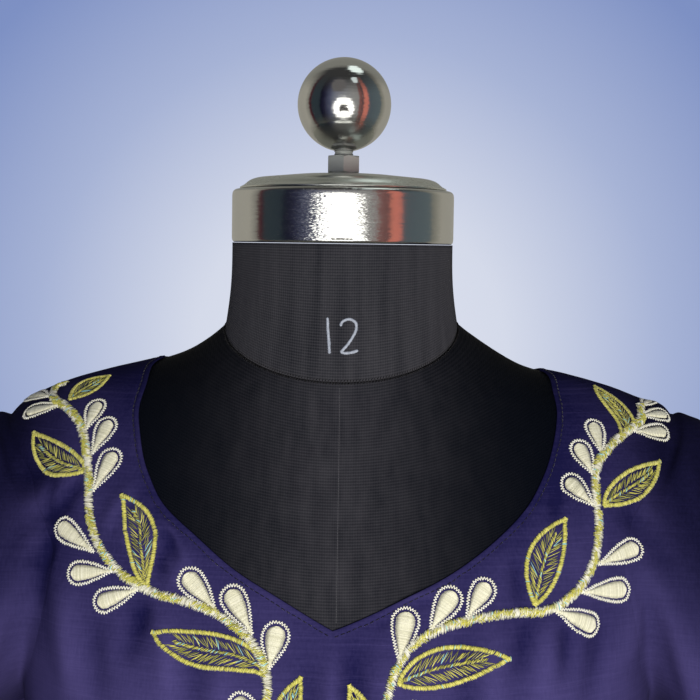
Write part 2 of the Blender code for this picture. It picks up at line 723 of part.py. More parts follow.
def turn_profile(name, profile, finish, sides):
    """Make a turned solid from (radius, z) points that run from its bottom axis point to its top one."""
    points, rings = [], []
    for radius, z in profile:
        start = len(points)
        if radius < 0.001:
            points.append((0.0, 0.0, z))
            rings.append((start, True))
            continue
        for i in range(sides):
            angle = 2.0 * math.pi * i / sides
            points.append((radius * math.cos(angle), radius * math.sin(angle), z))
        rings.append((start, False))
    faces = []
    for (low, low_point), (high, high_point) in zip(rings, rings[1:]):
        for i in range(sides):
            after = (i + 1) % sides
            if low_point:
                faces.append((low, high + after, high + i))
            elif high_point:
                faces.append((low + i, low + after, high))
            else:
                faces.append((low + i, low + after, high + after, high + i))
    add_mesh(name, points, faces, finish)


def build_cap():
    """Make the polished cap on the neck: a band, and a lid with a sloped shoulder and a low crown."""
    low = NECK_TOP + SEAM_GAP
    band = [(0.0, low), (CAP_RADIUS - 0.5, low), (CAP_RADIUS, low + 0.6), (CAP_RADIUS, CAP_BAND_TOP - 1.2)]
    band += [(CAP_RADIUS - 1.2, CAP_BAND_TOP), (0.0, CAP_BAND_TOP)]
    turn_profile("cap_band", band, CHROME, 48)
    lid = [(0.0, CAP_BAND_TOP + SEAM_GAP), (LID_RADIUS, CAP_BAND_TOP + SEAM_GAP)]
    lid += [(LID_RADIUS, CAP_BAND_TOP + 1.4), (LID_FLAT_RADIUS + 2.0, LID_TOP - 0.8)]
    lid += [(LID_FLAT_RADIUS - 1.0, LID_TOP), (LID_FLAT_RADIUS / 2.0, LID_TOP + 2.2)]
    lid += [(NUT_FLATS * 0.7, LID_TOP + 2.7), (0.0, LID_TOP + 2.7)]
    turn_profile("cap_lid", lid, CHROME, 48)
    return LID_TOP + 2.7


def build_nut(seat):
    """Make the hexagonal nut that clamps the stud to the lid, with chamfered corners and a bore."""
    low = seat + SEAM_GAP
    high = low + NUT_HEIGHT
    corner = NUT_FLATS / math.sqrt(3.0)
    bore = STUD_RADIUS + SEAM_GAP
    sides = 24
    chamfer = 0.8
    levels = [(low, 0.95), (low + chamfer, 1.0), (high - chamfer, 1.0), (high, 0.95)]
    points = []
    for z, scale in levels:
        for i in range(sides):
            angle = 2.0 * math.pi * i / sides
            flat_angle = (angle + math.pi / 6.0) % (math.pi / 3.0) - math.pi / 6.0
            radius = 0.5 * NUT_FLATS / math.cos(flat_angle)
            radius = min(radius, corner if scale == 1.0 else 0.5 * NUT_FLATS)
            points.append((radius * math.cos(angle), radius * math.sin(angle), z))
    for z in (high, low):
        for i in range(sides):
            angle = 2.0 * math.pi * i / sides
            points.append((bore * math.cos(angle), bore * math.sin(angle), z))
    faces = []
    count = len(points) // sides
    for j in range(count):
        a, b = j * sides, ((j + 1) % count) * sides
        for i in range(sides):
            after = (i + 1) % sides
            faces.append((a + i, a + after, b + after, b + i))
    add_mesh("nut", points, faces, ZINC)
    return high


def build_stud_and_ball(seat, nut_top):
    """Make the stud, from the lid up into the ball, threaded where it shows, and the ball screwed on it."""
    low = seat + SEAM_GAP
    ball_low = BALL_CENTRE - BALL_RADIUS
    socket_depth = 8.0
    top = ball_low + socket_depth
    core = STUD_RADIUS - 0.55
    profile = [(0.0, low), (core, low)]
    z = nut_top - STUD_PITCH
    while z < ball_low + STUD_PITCH:
        profile += [(core, z), (STUD_RADIUS, z + 0.5 * STUD_PITCH)]
        z += STUD_PITCH
    profile += [(core, z), (core, top), (0.0, top)]
    turn_profile("stud", profile, ZINC, 20)
    bore = STUD_RADIUS + SEAM_GAP
    mouth = math.asin(bore / BALL_RADIUS)
    hole_top = top + SEAM_GAP
    ball = [(0.0, hole_top), (bore, hole_top)]
    steps = 14
    for i in range(steps + 1):
        angle = mouth + (math.pi - mouth) * i / steps
        radius = BALL_RADIUS * math.sin(angle)
        ball.append((radius if i < steps else 0.0, BALL_CENTRE - BALL_RADIUS * math.cos(angle)))
    turn_profile("ball", ball, CHROME, 28)


def build_stand():
    """Make the stand: round base, collar, pole and the socket under the form."""
    base = [(0.0, 0.0), (BASE_RADIUS - 1.5, 0.0), (BASE_RADIUS, 1.5), (BASE_RADIUS, BASE_RIM)]
    base += [(BASE_RADIUS - 4.0, BASE_RIM + 2.5), (BASE_RADIUS * 0.6, BASE_RIM + 7.0)]
    base += [(COLLAR_RADIUS + 12.0, BASE_CROWN), (0.0, BASE_CROWN)]
    turn_profile("base", base, BLACK_STEEL, 48)
    low = BASE_CROWN + SEAM_GAP
    inner = POLE_RADIUS + SEAM_GAP
    collar = [(inner, low), (COLLAR_RADIUS, low), (COLLAR_RADIUS, low + 8.0)]
    collar += [(COLLAR_RADIUS - 8.0, low + 13.0), (COLLAR_RADIUS - 8.0, COLLAR_TOP), (inner, COLLAR_TOP)]
    turn_ring("collar", collar, BLACK_STEEL, 28)
    pole_top = FORM_BOTTOM - SEAM_GAP
    pole = [(0.0, low), (POLE_RADIUS, low), (POLE_RADIUS, pole_top), (0.0, pole_top)]
    turn_profile("pole", pole, CHROME, 28)
    socket = [(inner, SOCKET_BOTTOM - 22.0), (inner + 5.0, SOCKET_BOTTOM - 22.0), (inner + 5.0, SOCKET_BOTTOM)]
    socket += [(SOCKET_RADIUS, SOCKET_BOTTOM + 8.0), (SOCKET_RADIUS, FORM_BOTTOM - SEAM_GAP)]
    socket += [(inner, FORM_BOTTOM - SEAM_GAP)]
    turn_ring("socket", socket, BLACK_STEEL, 28)


def turn_ring(name, profile, finish, sides):
    """Make a turned ring from the closed outline of its section, as (radius, z) points."""
    points, faces = [], []
    for radius, z in profile:
        for i in range(sides):
            angle = 2.0 * math.pi * i / sides
            points.append((radius * math.cos(angle), radius * math.sin(angle), z))
    for j in range(len(profile)):
        a, b = j * sides, ((j + 1) % len(profile)) * sides
        for i in range(sides):
            after = (i + 1) % sides
            faces.append((a + i, a + after, b + after, b + i))
    add_mesh(name, points, faces, finish)


def main():
    """Build the kurti and the dress form that it is worn on."""
    clear_scene()
    Panel("front", True).build()
    Panel("back", False).build()
    build_sleeve("sleeve_left", -1)
    build_sleeve("sleeve_right", 1)
    build_form_torso()
    build_form_neck()
    seat = build_cap()
    nut_top = build_nut(seat)
    build_stud_and_ball(seat, nut_top)
    build_stand()


main()
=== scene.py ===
"""Looks of a navy kurti with an embroidered neckline, worn by a dress form on a round stand.

Sizes and places are in millimetres until a mesh is made. X runs to the right, the front faces -Y and Z is up.
"""

from __future__ import annotations

import json
import logging
import math
from collections.abc import Callable
from dataclasses import dataclass, field
from enum import Enum

import bmesh
import bpy
import numpy as np
from bpy.types import ColorRamp, Material, Mesh, Node, NodeSocket, NodeTree, Object
from mathutils import Matrix, Vector, noise
from mathutils.bvhtree import BVHTree
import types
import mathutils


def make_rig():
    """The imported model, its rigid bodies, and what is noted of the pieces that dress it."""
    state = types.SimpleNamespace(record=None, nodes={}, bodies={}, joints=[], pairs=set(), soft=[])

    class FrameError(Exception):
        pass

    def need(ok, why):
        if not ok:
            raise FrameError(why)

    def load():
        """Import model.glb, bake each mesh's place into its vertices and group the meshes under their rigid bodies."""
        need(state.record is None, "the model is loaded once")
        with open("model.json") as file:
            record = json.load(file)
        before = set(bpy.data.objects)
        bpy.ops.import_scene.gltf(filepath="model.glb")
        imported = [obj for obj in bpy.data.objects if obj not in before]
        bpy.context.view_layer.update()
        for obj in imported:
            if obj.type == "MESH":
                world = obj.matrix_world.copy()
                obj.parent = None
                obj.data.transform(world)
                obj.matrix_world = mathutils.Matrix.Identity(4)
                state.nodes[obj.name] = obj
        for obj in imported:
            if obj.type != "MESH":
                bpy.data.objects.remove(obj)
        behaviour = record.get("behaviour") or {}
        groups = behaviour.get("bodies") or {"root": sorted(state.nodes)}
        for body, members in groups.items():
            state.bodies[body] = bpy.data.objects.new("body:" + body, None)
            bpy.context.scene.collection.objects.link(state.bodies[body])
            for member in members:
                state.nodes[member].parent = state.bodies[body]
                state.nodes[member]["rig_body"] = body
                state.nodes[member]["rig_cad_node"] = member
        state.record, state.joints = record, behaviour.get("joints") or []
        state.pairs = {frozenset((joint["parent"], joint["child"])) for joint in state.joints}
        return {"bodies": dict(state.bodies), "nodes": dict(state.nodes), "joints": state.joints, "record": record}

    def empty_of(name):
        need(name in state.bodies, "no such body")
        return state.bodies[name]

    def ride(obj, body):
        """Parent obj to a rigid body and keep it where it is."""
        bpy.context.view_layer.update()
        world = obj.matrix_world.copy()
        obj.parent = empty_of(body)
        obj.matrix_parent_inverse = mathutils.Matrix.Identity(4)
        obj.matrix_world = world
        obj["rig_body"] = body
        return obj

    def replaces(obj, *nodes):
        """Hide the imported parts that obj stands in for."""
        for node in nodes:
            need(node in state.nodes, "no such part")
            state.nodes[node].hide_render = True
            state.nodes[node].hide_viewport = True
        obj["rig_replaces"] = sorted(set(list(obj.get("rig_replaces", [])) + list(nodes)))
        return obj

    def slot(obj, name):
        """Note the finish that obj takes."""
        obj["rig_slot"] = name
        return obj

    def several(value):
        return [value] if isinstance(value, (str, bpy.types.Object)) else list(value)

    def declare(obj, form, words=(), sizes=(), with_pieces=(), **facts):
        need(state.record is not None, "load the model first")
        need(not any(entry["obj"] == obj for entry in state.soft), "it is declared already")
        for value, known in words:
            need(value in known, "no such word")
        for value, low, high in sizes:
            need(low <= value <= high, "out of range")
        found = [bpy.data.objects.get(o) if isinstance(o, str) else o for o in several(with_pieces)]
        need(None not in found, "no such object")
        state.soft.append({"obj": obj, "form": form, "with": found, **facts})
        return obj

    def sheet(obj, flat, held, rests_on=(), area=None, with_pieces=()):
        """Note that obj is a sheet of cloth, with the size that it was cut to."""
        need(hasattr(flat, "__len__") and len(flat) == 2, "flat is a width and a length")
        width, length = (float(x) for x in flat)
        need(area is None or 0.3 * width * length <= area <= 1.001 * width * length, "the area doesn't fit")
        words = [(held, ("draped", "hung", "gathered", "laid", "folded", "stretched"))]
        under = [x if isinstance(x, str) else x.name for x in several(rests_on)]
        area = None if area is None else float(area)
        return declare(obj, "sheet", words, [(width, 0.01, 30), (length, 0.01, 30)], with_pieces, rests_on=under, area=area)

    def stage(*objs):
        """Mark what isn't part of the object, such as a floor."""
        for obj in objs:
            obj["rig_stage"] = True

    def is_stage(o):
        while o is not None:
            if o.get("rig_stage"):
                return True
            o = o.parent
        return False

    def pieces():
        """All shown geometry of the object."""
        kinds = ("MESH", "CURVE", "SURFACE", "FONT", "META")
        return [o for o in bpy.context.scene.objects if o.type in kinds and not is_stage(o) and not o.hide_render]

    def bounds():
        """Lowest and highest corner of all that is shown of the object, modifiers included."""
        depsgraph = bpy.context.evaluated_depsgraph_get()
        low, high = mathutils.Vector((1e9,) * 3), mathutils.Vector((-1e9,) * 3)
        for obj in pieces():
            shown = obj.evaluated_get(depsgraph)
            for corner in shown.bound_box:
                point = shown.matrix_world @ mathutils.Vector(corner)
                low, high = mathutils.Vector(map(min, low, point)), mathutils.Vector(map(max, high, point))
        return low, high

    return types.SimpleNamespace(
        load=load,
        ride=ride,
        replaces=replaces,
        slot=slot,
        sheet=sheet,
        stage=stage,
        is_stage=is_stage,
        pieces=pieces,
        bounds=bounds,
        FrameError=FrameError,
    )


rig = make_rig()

Array = np.ndarray
Triple = tuple[float, float, float]
Sockets = dict[str, object]

LOG = logging.getLogger("kurti")
SIZE_FILE = "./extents.json"
MM = 0.001
BODY = "root"
SEED = 12

# Gaps between solids and between sewn panels, the cloth's wall, and how far its edges roll.
SEAM_GAP = 0.3
SEWN_GAP = 0.1
CLOTH_WALL = 0.9
EDGE_ROLL = 0.3
SEAM_ROLL = 0.03
# How much closer the cloth lies at the neckline, and how deep its creases and unevenness may go.
HUG = 0.8
DEEPEST = -2.5
UNEVEN_DEPTH = 0.15
CREASE_POINTS = 10
# The hem, the side slits and the turn of the side seams.
HEM = 380.0
SLIT_TOP = 800.0
SLIT_SPREAD = 3.0
SIDE_TURN = 90.0
# Rows from the neck over which the shoulder's ridge grows round.
RIDGE_ROWS = 4.0
# Where the shoulder's ridge sags, or swells where depth is below 0: place across, width and depth.
RIDGE_SAGS = [(-76.0, 22.0, 3.1), (98.0, 17.0, 2.2), (171.0, 8.5, -5.5)]
RIDGE_SAG_REACH = 42.0
RIDGE_SAG_FOOT = 1330.0
# How far the front's rows sag between neckline and armhole, in level lines.
FRONT_ROW_SAG = 1.1

# The bust, as a soft swell on each side of the front.
BUST_TURN = 38.0
BUST_SPREAD = 20.0
BUST_HEIGHT = 1185.0
BUST_TALL = 50.0
BUST_DEPTH = 8.0

# Height below which the cloth's unevenness grows into the skirt's, and how far down it does.
SKIRT_START = 1180.0
SKIRT_REACH = 300.0

# Steps over which a surface's slopes are measured.
SMALL_TURN = 0.4
SMALL_ROW = 0.02
# How often a search for a place on the surface is halved.
HALVINGS = 40

# Heights of the form's hard parts and of the stand.
FORM_BOTTOM = 760.0
NECK_TOP = 1480.0
NECK_TOP_RADIUS = 57.2

# Level lines of the form: side height and half width, front height and reach, back height and reach.
FORM_LINES = [
    (1439, 60.5, 1413, 60, 1447, 61),
    (1435, 66, 1409, 61, 1443.5, 62.5),
    (1429, 75.5, 1403, 62.2, 1438, 65),
    (1424.5, 84, 1397, 63.7, 1432, 68),
    (1420, 94.5, 1390, 65.7, 1425, 72),
    (1416.5, 105, 1382.5, 68, 1417, 76),
    (1413, 117, 1374, 71, 1408, 80.5),
    (1409, 130, 1364.5, 74.5, 1398, 85),
    (1404.5, 143, 1354, 78.5, 1387, 90),
    (1399.5, 154, 1342, 83.3, 1374, 95),
    (1393, 163.5, 1328, 89, 1358, 100.5),
    (1382, 170, 1311, 95.5, 1340, 105),
    (1365, 172, 1292, 103, 1318, 108.5),
    (1340, 170.5, 1271, 111, 1294, 110.5),
    (1308, 165.5, 1250, 118.5, 1268, 111),
    (1272, 160, 1228, 126, 1240, 110),
    (1236, 157, 1205, 132.5, 1212, 108),
    (1200, 156.5, 1182, 136, 1185, 105),
]
# Below them they are level: height, half width, front reach and back reach.
FORM_LOWER_LINES = [
    (1150, 151, 134, 103),
    (1110, 140, 123, 101),
    (1060, 128, 110, 97),
    (1020, 124, 105, 97),
    (970, 131, 107, 104),
    (915, 150, 114, 121),
    (860, 165, 122, 139),
    (810, 171, 125, 147),
    (772, 168, 122, 144),
    (FORM_BOTTOM, 156, 110, 132),
]
# How far the cloth stands off the form at each of FORM_LINES: side, front and back.
EASES = 8 * [(2.0, 2.0, 2.0)] + [
    (2.2, 2, 2.2),
    (2.6, 2, 2.4),
    (3.6, 2, 2.6),
    (5, 2.1, 3),
    (6, 2.4, 3.4),
    (6, 3, 4),
    (6, 3.6, 4.5),
    (6, 4.4, 5),
    (6, 5, 6),
    (6, 5.5, 7),
]
# The cloth's own level lines below the bust, in the same way.
SKIRT_LINES = [
    (1160, 163, 143.5, 113.5),
    (1120, 160, 144, 114),
    (1080, 157.5, 143, 114.5),
    (1045, 156.5, 142, 116),
    (1015, 156.5, 141, 119),
    (980, 158, 141, 124),
    (940, 163, 141.5, 132),
    (895, 172, 142.5, 141),
    (855, 180, 144, 148),
    (820, 185, 145.5, 153),
    (770, 190, 147.5, 156),
    (700, 197, 150.5, 158),
    (620, 206, 154, 160),
    (540, 215, 158, 163),
    (460, 224, 162, 166),
    (HEM, 232, 166, 170),
]
# The front neckline: height, left edge and right edge.
NECKLINE = [
    (1410, -98, 108),
    (1398, -100, 108.5),
    (1385, -97.5, 105.5),
    (1370, -92.5, 99.5),
    (1356, -84, 90.5),
    (1342, -67, 75.5),
    (1329, -50, 57),
    (1316, -27, 31),
    (1302.5, -1.5, -1.5),
]
# Half widths at which the neckline meets the shoulder seams, and the step they are found in.
NECK_AT_SHOULDER = {-1: 92.5, 1: 104.5}
SHOULDER_STEP = 0.01
BACK_NECK_BOTTOM = 1391.0
BACK_NECK_POINTS = 8
# The armhole from the shoulder's tip to the underarm: front turn and row, back turn and row.
ARMHOLE = [
    (90, 10.55, 90, 10.55),
    (65, 10.95, 69, 11.1),
    (54.5, 11.6, 61.5, 12),
    (51, 12.4, 59, 12.9),
    (54, 13.4, 61, 13.8),
    (64, 14.7, 70, 15),
    (90, 16.2, 90, 16.2),
]
# The right sleeve's rings: top x and z, underarm x and z, front fold, back fold, own shape and reach.
SLEEVE_RINGS = [
    (180, 1391.5, 166.5, 1225, 153, -72, 1319, 160, 59, 1322, 0, 0),
    (180, 1391.5, 166.5, 1225, 153, -72, 1319, 160, 59, 1322, 0.2, 8),
    (188.5, 1387, 169.5, 1219, 165, -71, 1306, 170, 65, 1309, 0.45, 16),
    (196, 1378, 172, 1211, 175.5, -74, 1289, 179, 71, 1292, 0.7, 24),
    (202.5, 1360.5, 173.5, 1201, 183, -78, 1267, 185, 76, 1269, 0.88, 30),
    (207.5, 1334, 174.5, 1188, 187.5, -82.5, 1242, 189, 79, 1243, 1, 0),
    (210.5, 1299, 175, 1172, 190.5, -87, 1216, 191, 81, 1216, 1, 0),
    (212, 1258, 175, 1153, 192, -86.5, 1187, 192.5, 81, 1187, 1, 0),
    (212.5, 1212, 174.5, 1130, 193, -85, 1155, 193.5, 79.5, 1155, 1, 0),
    (212, 1163, 174, 1103, 193, -82.5, 1120, 193.5, 77, 1120, 1, 0),
    (210.5, 1113, 174, 1072, 192, -79, 1084, 192.5, 73.5, 1084, 1, 0),
    (208, 1062, 174.5, 1037, 191, -75.5, 1045, 191.5, 70, 1045, 1, 0),
    (205.5, 1011, 175, 1000, 190, -71.5, 1004, 190.5, 66, 1004, 1, 0),
    (203, 962, 175.5, 962, 189, -67.5, 962, 189.5, 62, 962, 1, 0),
]
# Flutes of the sleeve and of the skirt: turn, width in degrees, depth, top and reach down to full depth.
SLEEVE_FOLDS = [
    (42, 15, -2, 1310, 150),
    (-34, 17, -5.5, 1290, 170),
    (150, 17, -3.5, 1150, 120),
]
SKIRT_FOLDS = [
    (-60, 12, 20, 980, 620),
    (-25, 11, 14, 860, 500),
    (7, 11, -9, 900, 520),
    (34, 11, 18, 940, 580),
    (69, 12, 17, 1000, 640),
    (112, 12, 18, 980, 620),
    (145, 12, 15, 920, 560),
    (180, 12, -10, 940, 540),
    (-142, 12, 17, 900, 540),
    (-108, 12, 20, 1000, 640),
]
# Rows of the panels' grids beside the front and the back neckline, in the bodice and in the skirt.
NECK_ROWS = 11
BACK_NECK_ROWS = 5
BODICE_ROWS = 8
SKIRT_ROWS = 14


def operator(operation: str) -> tuple[Callable, Callable]:
    """Make an operator on shader values and its reflected form.

    Args:
        operation: The Math node's operation.

    Returns:
        The operator, and the one for a number that comes first.
    """

    def straight(self: Term, other: Term | float) -> Term:
        """Operation on this value and another."""
        return self.call(operation, other)

    def reflected(self: Term, other: float) -> Term:
        """Operation on a number and this value."""
        return self.graph.term("ShaderNodeMath", {"operation": operation}, {0: other, 1: self})

    return straight, reflected


class Term:
    """A value in a shader graph. Each operation on it adds one Math node."""

    def __init__(self, graph: Graph, socket: NodeSocket) -> None:
        """Wrap an output socket of a graph."""
        self.graph = graph
        self.socket = socket

    def call(self, operation: str, other: Term | float | None = None) -> Term:
        """Apply a Math operation, with a second value where it has one."""
        sockets = {0: self} if other is None else {0: self, 1: other}
        return self.graph.term("ShaderNodeMath", {"operation": operation}, sockets)

    __add__, __radd__ = operator("ADD")
    __sub__, __rsub__ = operator("SUBTRACT")
    __mul__, __rmul__ = operator("MULTIPLY")
    __truediv__, __rtruediv__ = operator("DIVIDE")
    __pow__, __rpow__ = operator("POWER")


class Graph:
    """Nodes of one material or world."""

    def __init__(self, tree: NodeTree) -> None:
        """Hold the node tree that nodes are added to."""
        self.tree = tree

    def node(self, kind: str, settings: dict | None = None, sockets: dict | None = None) -> Node:
        """Add a node.

        Args:
            kind: The node's type.
            settings: Its settings, set first; stops are a ramp's places and colours.
            sockets: Numbers, colours or links for its input sockets, by name or index.

        Returns:
            The new node.
        """
        made = self.tree.nodes.new(kind)
        for name, value in (settings or {}).items():
            if name == "stops":
                self.set_stops(made.color_ramp, value)
            else:
                setattr(made, name, value)
        for key, value in (sockets or {}).items():
            self.feed(made.inputs[key], value)
        return made

    def feed(self, socket: NodeSocket, value: Term | float | tuple) -> None:
        """Link or set an input socket.

        Args:
            socket: The input socket.
            value: What it gets.
        """
        if isinstance(value, Term):
            self.tree.links.new(value.socket, socket)
        elif socket.type == "RGBA":
            socket.default_value = (*value, 1.0)
        else:
            socket.default_value = value

    def set_stops(self, ramp: ColorRamp, stops: list[tuple[float, tuple]]) -> None:
        """Fill a colour ramp.

        Args:
            ramp: The ramp, which starts with two stops.
            stops: Places from 0 to 1 with their colours.
        """
        while len(ramp.elements) < len(stops):
            ramp.elements.new(1.0)
        for element, (place, colour) in zip(ramp.elements, stops):
            element.position = place
            element.color = (*colour, 1.0)

    def term(
        self, kind: str, settings: dict | None = None, sockets: dict | None = None, output: int = 0
    ) -> Term:
        """Add a node, as node does, and take one of its outputs by number as a value."""
        return Term(self, self.node(kind, settings, sockets).outputs[output])

    def mix(self, factor: Term | float, low: Term | tuple, high: Term | tuple) -> Term:
        """Mix two colours; factor is the share of the second."""
        return self.term("ShaderNodeMix", {"data_type": "RGBA"}, {0: factor, 6: low, 7: high}, 2)

    def ramp(self, value: Term, stops: list[tuple[float, tuple]]) -> Term:
        """Colour a value by a ramp."""
        return self.term("ShaderNodeValToRGB", {"stops": stops}, {0: value})

    def vector(self, operation: str, sockets: dict) -> Term:
        """Apply a Vector Math operation."""
        return self.term("ShaderNodeVectorMath", {"operation": operation}, sockets)

    def axes(self, vector: Term) -> list[Term]:
        """X, Y and Z of a vector."""
        parts = self.node("ShaderNodeSeparateXYZ", None, {0: vector})
        return [Term(self, output) for output in parts.outputs]

    def attribute(self, name: str) -> Term:
        """Value that the piece's points hold under a name."""
        return self.term("ShaderNodeAttribute", {"attribute_name": name}, output=2)

    def slant(self) -> Term:
        """How far the surface leans away from the eye, from 0 to 1."""
        return self.term("ShaderNodeLayerWeight", None, {"Blend": 0.5}, 1)

    def place(self) -> Term:
        """Place in the object's own metres."""
        return self.term("ShaderNodeTexCoord", output=3)

    def grain(self, scale: Triple | float, detail: float = 2.0) -> Term:
        """Make noise from 0 to 1.

        Args:
            scale: Its waves a metre, on each axis or one number for all.
            detail: Its finer octaves.

        Returns:
            The noise.
        """
        scale = scale if isinstance(scale, tuple) else (scale, scale, scale)
        place = self.vector("MULTIPLY", {0: self.place(), 1: scale})
        sockets = {"Vector": place, "Scale": 1.0, "Detail": detail, "Roughness": 0.55}
        return self.term("ShaderNodeTexNoise", None, sockets)

    def bump(self, height: Term, depth: float, strength: float = 1.0, normal: Term | None = None) -> Term:
        """Turn a height from 0 to 1, which stands for a depth in metres, into a normal, or add it to one."""
        sockets = {"Height": height, "Distance": depth, "Strength": strength}
        return self.term("ShaderNodeBump", None, sockets if normal is None else {**sockets, "Normal": normal})


@dataclass(frozen=True)
class Finish:
    """A finish: a Principled shader, some of whose sockets vary over the surface."""

    name: str

    def material(self) -> Material:
        """Make the finish's material.

        Returns:
            The material.
        """
        made = bpy.data.materials.new(self.name)
        made.use_nodes = True
        graph = Graph(made.node_tree)
        shader = made.node_tree.nodes["Principled BSDF"]
        for socket, value in self.paint(graph).items():
            graph.feed(shader.inputs[socket], value)
        return made

    def paint(self, graph: Graph) -> Sockets:
        """Work out the shader's sockets.

        Args:
            graph: The material's graph.

        Returns:
            Values by the sockets' names.
        """
        raise NotImplementedError


@dataclass(frozen=True)
class SilkCloth(Finish):
    """Plain-woven navy cloth with slubs across it and a soft sheen, with painted sheen, highlights, shade and shadow
    in its colour.
    """

    name: str = "navy_silk"
    navy: Triple = (0.0085, 0.0078, 0.042)
    # Bright end of the cloth's tone: light slubs and threads, and the painted sheen and highlights.
    sheen_and_slub_navy: Triple = (0.070, 0.057, 0.172)
    # Colours of the painted shade on the shoulders, woven like the cloth.
    painted_shade_navy: Triple = (0.0012, 0.0013, 0.0065)
    painted_shade_thread: Triple = (0.0085, 0.0080, 0.034)
    sheen: Triple = (0.42, 0.40, 0.75)
    threads_across: Triple = (110.0, 110.0, 1150.0)
    threads_down: Triple = (950.0, 950.0, 110.0)
    slubs: Triple = (16.0, 16.0, 1300.0)
    # Size of the broad painted sheen patches.
    sheen_clouds: Triple = (18.0, 18.0, 14.0)
    # Height of the painted pool of light on each side of the chest.
    painted_light_height: float = 1.262

    def paint(self, graph: Graph) -> Sockets:
        """Weave the threads and paint light and shade into the colour: sheen patches, crease shade and ridge
        highlights, shade where the cloth leans away, a shadow down the centre front, shade on the shoulders and a pool
        of light beside the chest.

        Args:
            graph: The material's graph.

        Returns:
            Values by the sockets' names.
        """
        weave = graph.grain(self.threads_across) * 0.42 + graph.grain(self.threads_down) * 0.58
        slub = graph.grain(self.slubs, 1.0) ** 3.0
        slant = graph.slant()
        x, _, z = graph.axes(graph.place())
        square = x * x
        # Painted shade on the shoulders and sleeve tops: out to the sides and up high.
        shoulder = (square * 60.0 - 1.0).call("MAXIMUM", 0.0) * (z * 9.0 - 11.3).call("MAXIMUM", 0.0)
        # A painted pool of light on each side of the chest, at a set height.
        over = z - self.painted_light_height
        painted_light = (square * 60.0).call("MINIMUM", 1.0) * math.e ** (over * over * -1100.0)
        chest = (z * 9.0 - 10.2).call("MAXIMUM", 0.35).call("MINIMUM", 1.0)
        # Broad painted sheen patches, fainter low on the cloth.
        patches = (graph.grain(self.sheen_clouds, 1.0) - 0.5) * chest * 0.44 + 0.22
        tone = (weave - 0.5) * 0.42 + 0.125 + slub * 0.28 + patches
        # Painted shade in the creases and painted highlights on their ridges, from each point's relief height, and
        # painted shade where the cloth leans away from the eye.
        tone = tone + graph.attribute("rise") * 0.12 - slant * 0.28
        # Painted shadow down the centre front, then the painted pool of light.
        tone = tone - math.e ** (square * -300.0) * 0.10 + painted_light * 0.45
        # The painted shade's colour, laid over the cloth where the shoulders are shaded.
        dim = graph.mix(weave, self.painted_shade_navy, self.painted_shade_thread)
        shaded = (shoulder * 1.5).call("MINIMUM", 0.92)
        return {
            "Base Color": graph.mix(shaded, graph.mix(tone, self.navy, self.sheen_and_slub_navy), dim),
            "Roughness": 0.50 - slub * 0.25 + slant * 0.5,
            "Normal": graph.bump(weave + slub, 0.0004, 0.45),
            "Sheen Weight": 0.015,
            "Sheen Roughness": 0.4,
            "Sheen Tint": self.sheen,
            "Specular IOR Level": 0.04,
            "IOR": 1.3,
        }


@dataclass(frozen=True)
class NetFabric(Finish):
    """Stretch net over black padding, as fine lines that run round the form, with painted shade towards its sides and
    a painted sheen where it leans away.
    """

    name: str
    # Colour of the painted shade that the net turns to towards its sides.
    hidden: Triple = (0.0014, 0.0021, 0.0042)
    ground: Triple = (0.009, 0.0098, 0.013)
    thread: Triple = (0.060, 0.058, 0.064)
    course_pitch: float = 1.45
    wale_pitch: float = 1.2
    # How fast the painted shade closes in towards the sides; 0 leaves none.
    side_shade_rate: float = 0.0
    # Strength of the painted sheen where the net leans away from the eye.
    grazing_sheen: float = 0.0

    def lines(self, run: Term, pitch: float) -> Term:
        """Turn a run in millimetres into lines of a pitch, from 0 to 1."""
        return (run * (math.tau / pitch)).call("SINE") * 0.5 + 0.5

    def paint(self, graph: Graph) -> Sockets:
        """Lay the net's courses and wales, its uneven stretch, its fuzz and a painted sheen where it leans away, and
        paint shade over it towards the sides.

        Args:
            graph: The material's graph.

        Returns:
            Values by the sockets' names.
        """
        drift = graph.grain(9.0, 1.0)
        net = self.lines(graph.attribute("course") + drift * 1.2, self.course_pitch) * 0.65
        net = net + self.lines(graph.attribute("wale") + drift * 1.6, self.wale_pitch) * 0.35
        bands = graph.grain((150.0, 150.0, 12.0), 1.0)
        fuzz = graph.grain(420.0, 3.0)
        slant = graph.slant()
        # The last term is a painted sheen where the net leans away from the eye.
        tone = net * 0.45 + bands * 0.55 + fuzz * 0.2 - 0.22 + slant * slant * self.grazing_sheen
        x = graph.axes(graph.place())[0]
        # Painted shade towards the sides, away from the frontal light.
        clear = math.e ** (x * x * -self.side_shade_rate)
        return {
            "Base Color": graph.mix(clear, self.hidden, graph.mix(tone, self.ground, self.thread)),
            "Normal": graph.bump(net + fuzz * 0.4, 0.0004, 0.5),
            "Roughness": 0.85 - fuzz * 0.2,
            "Specular IOR Level": 0.05,
        }


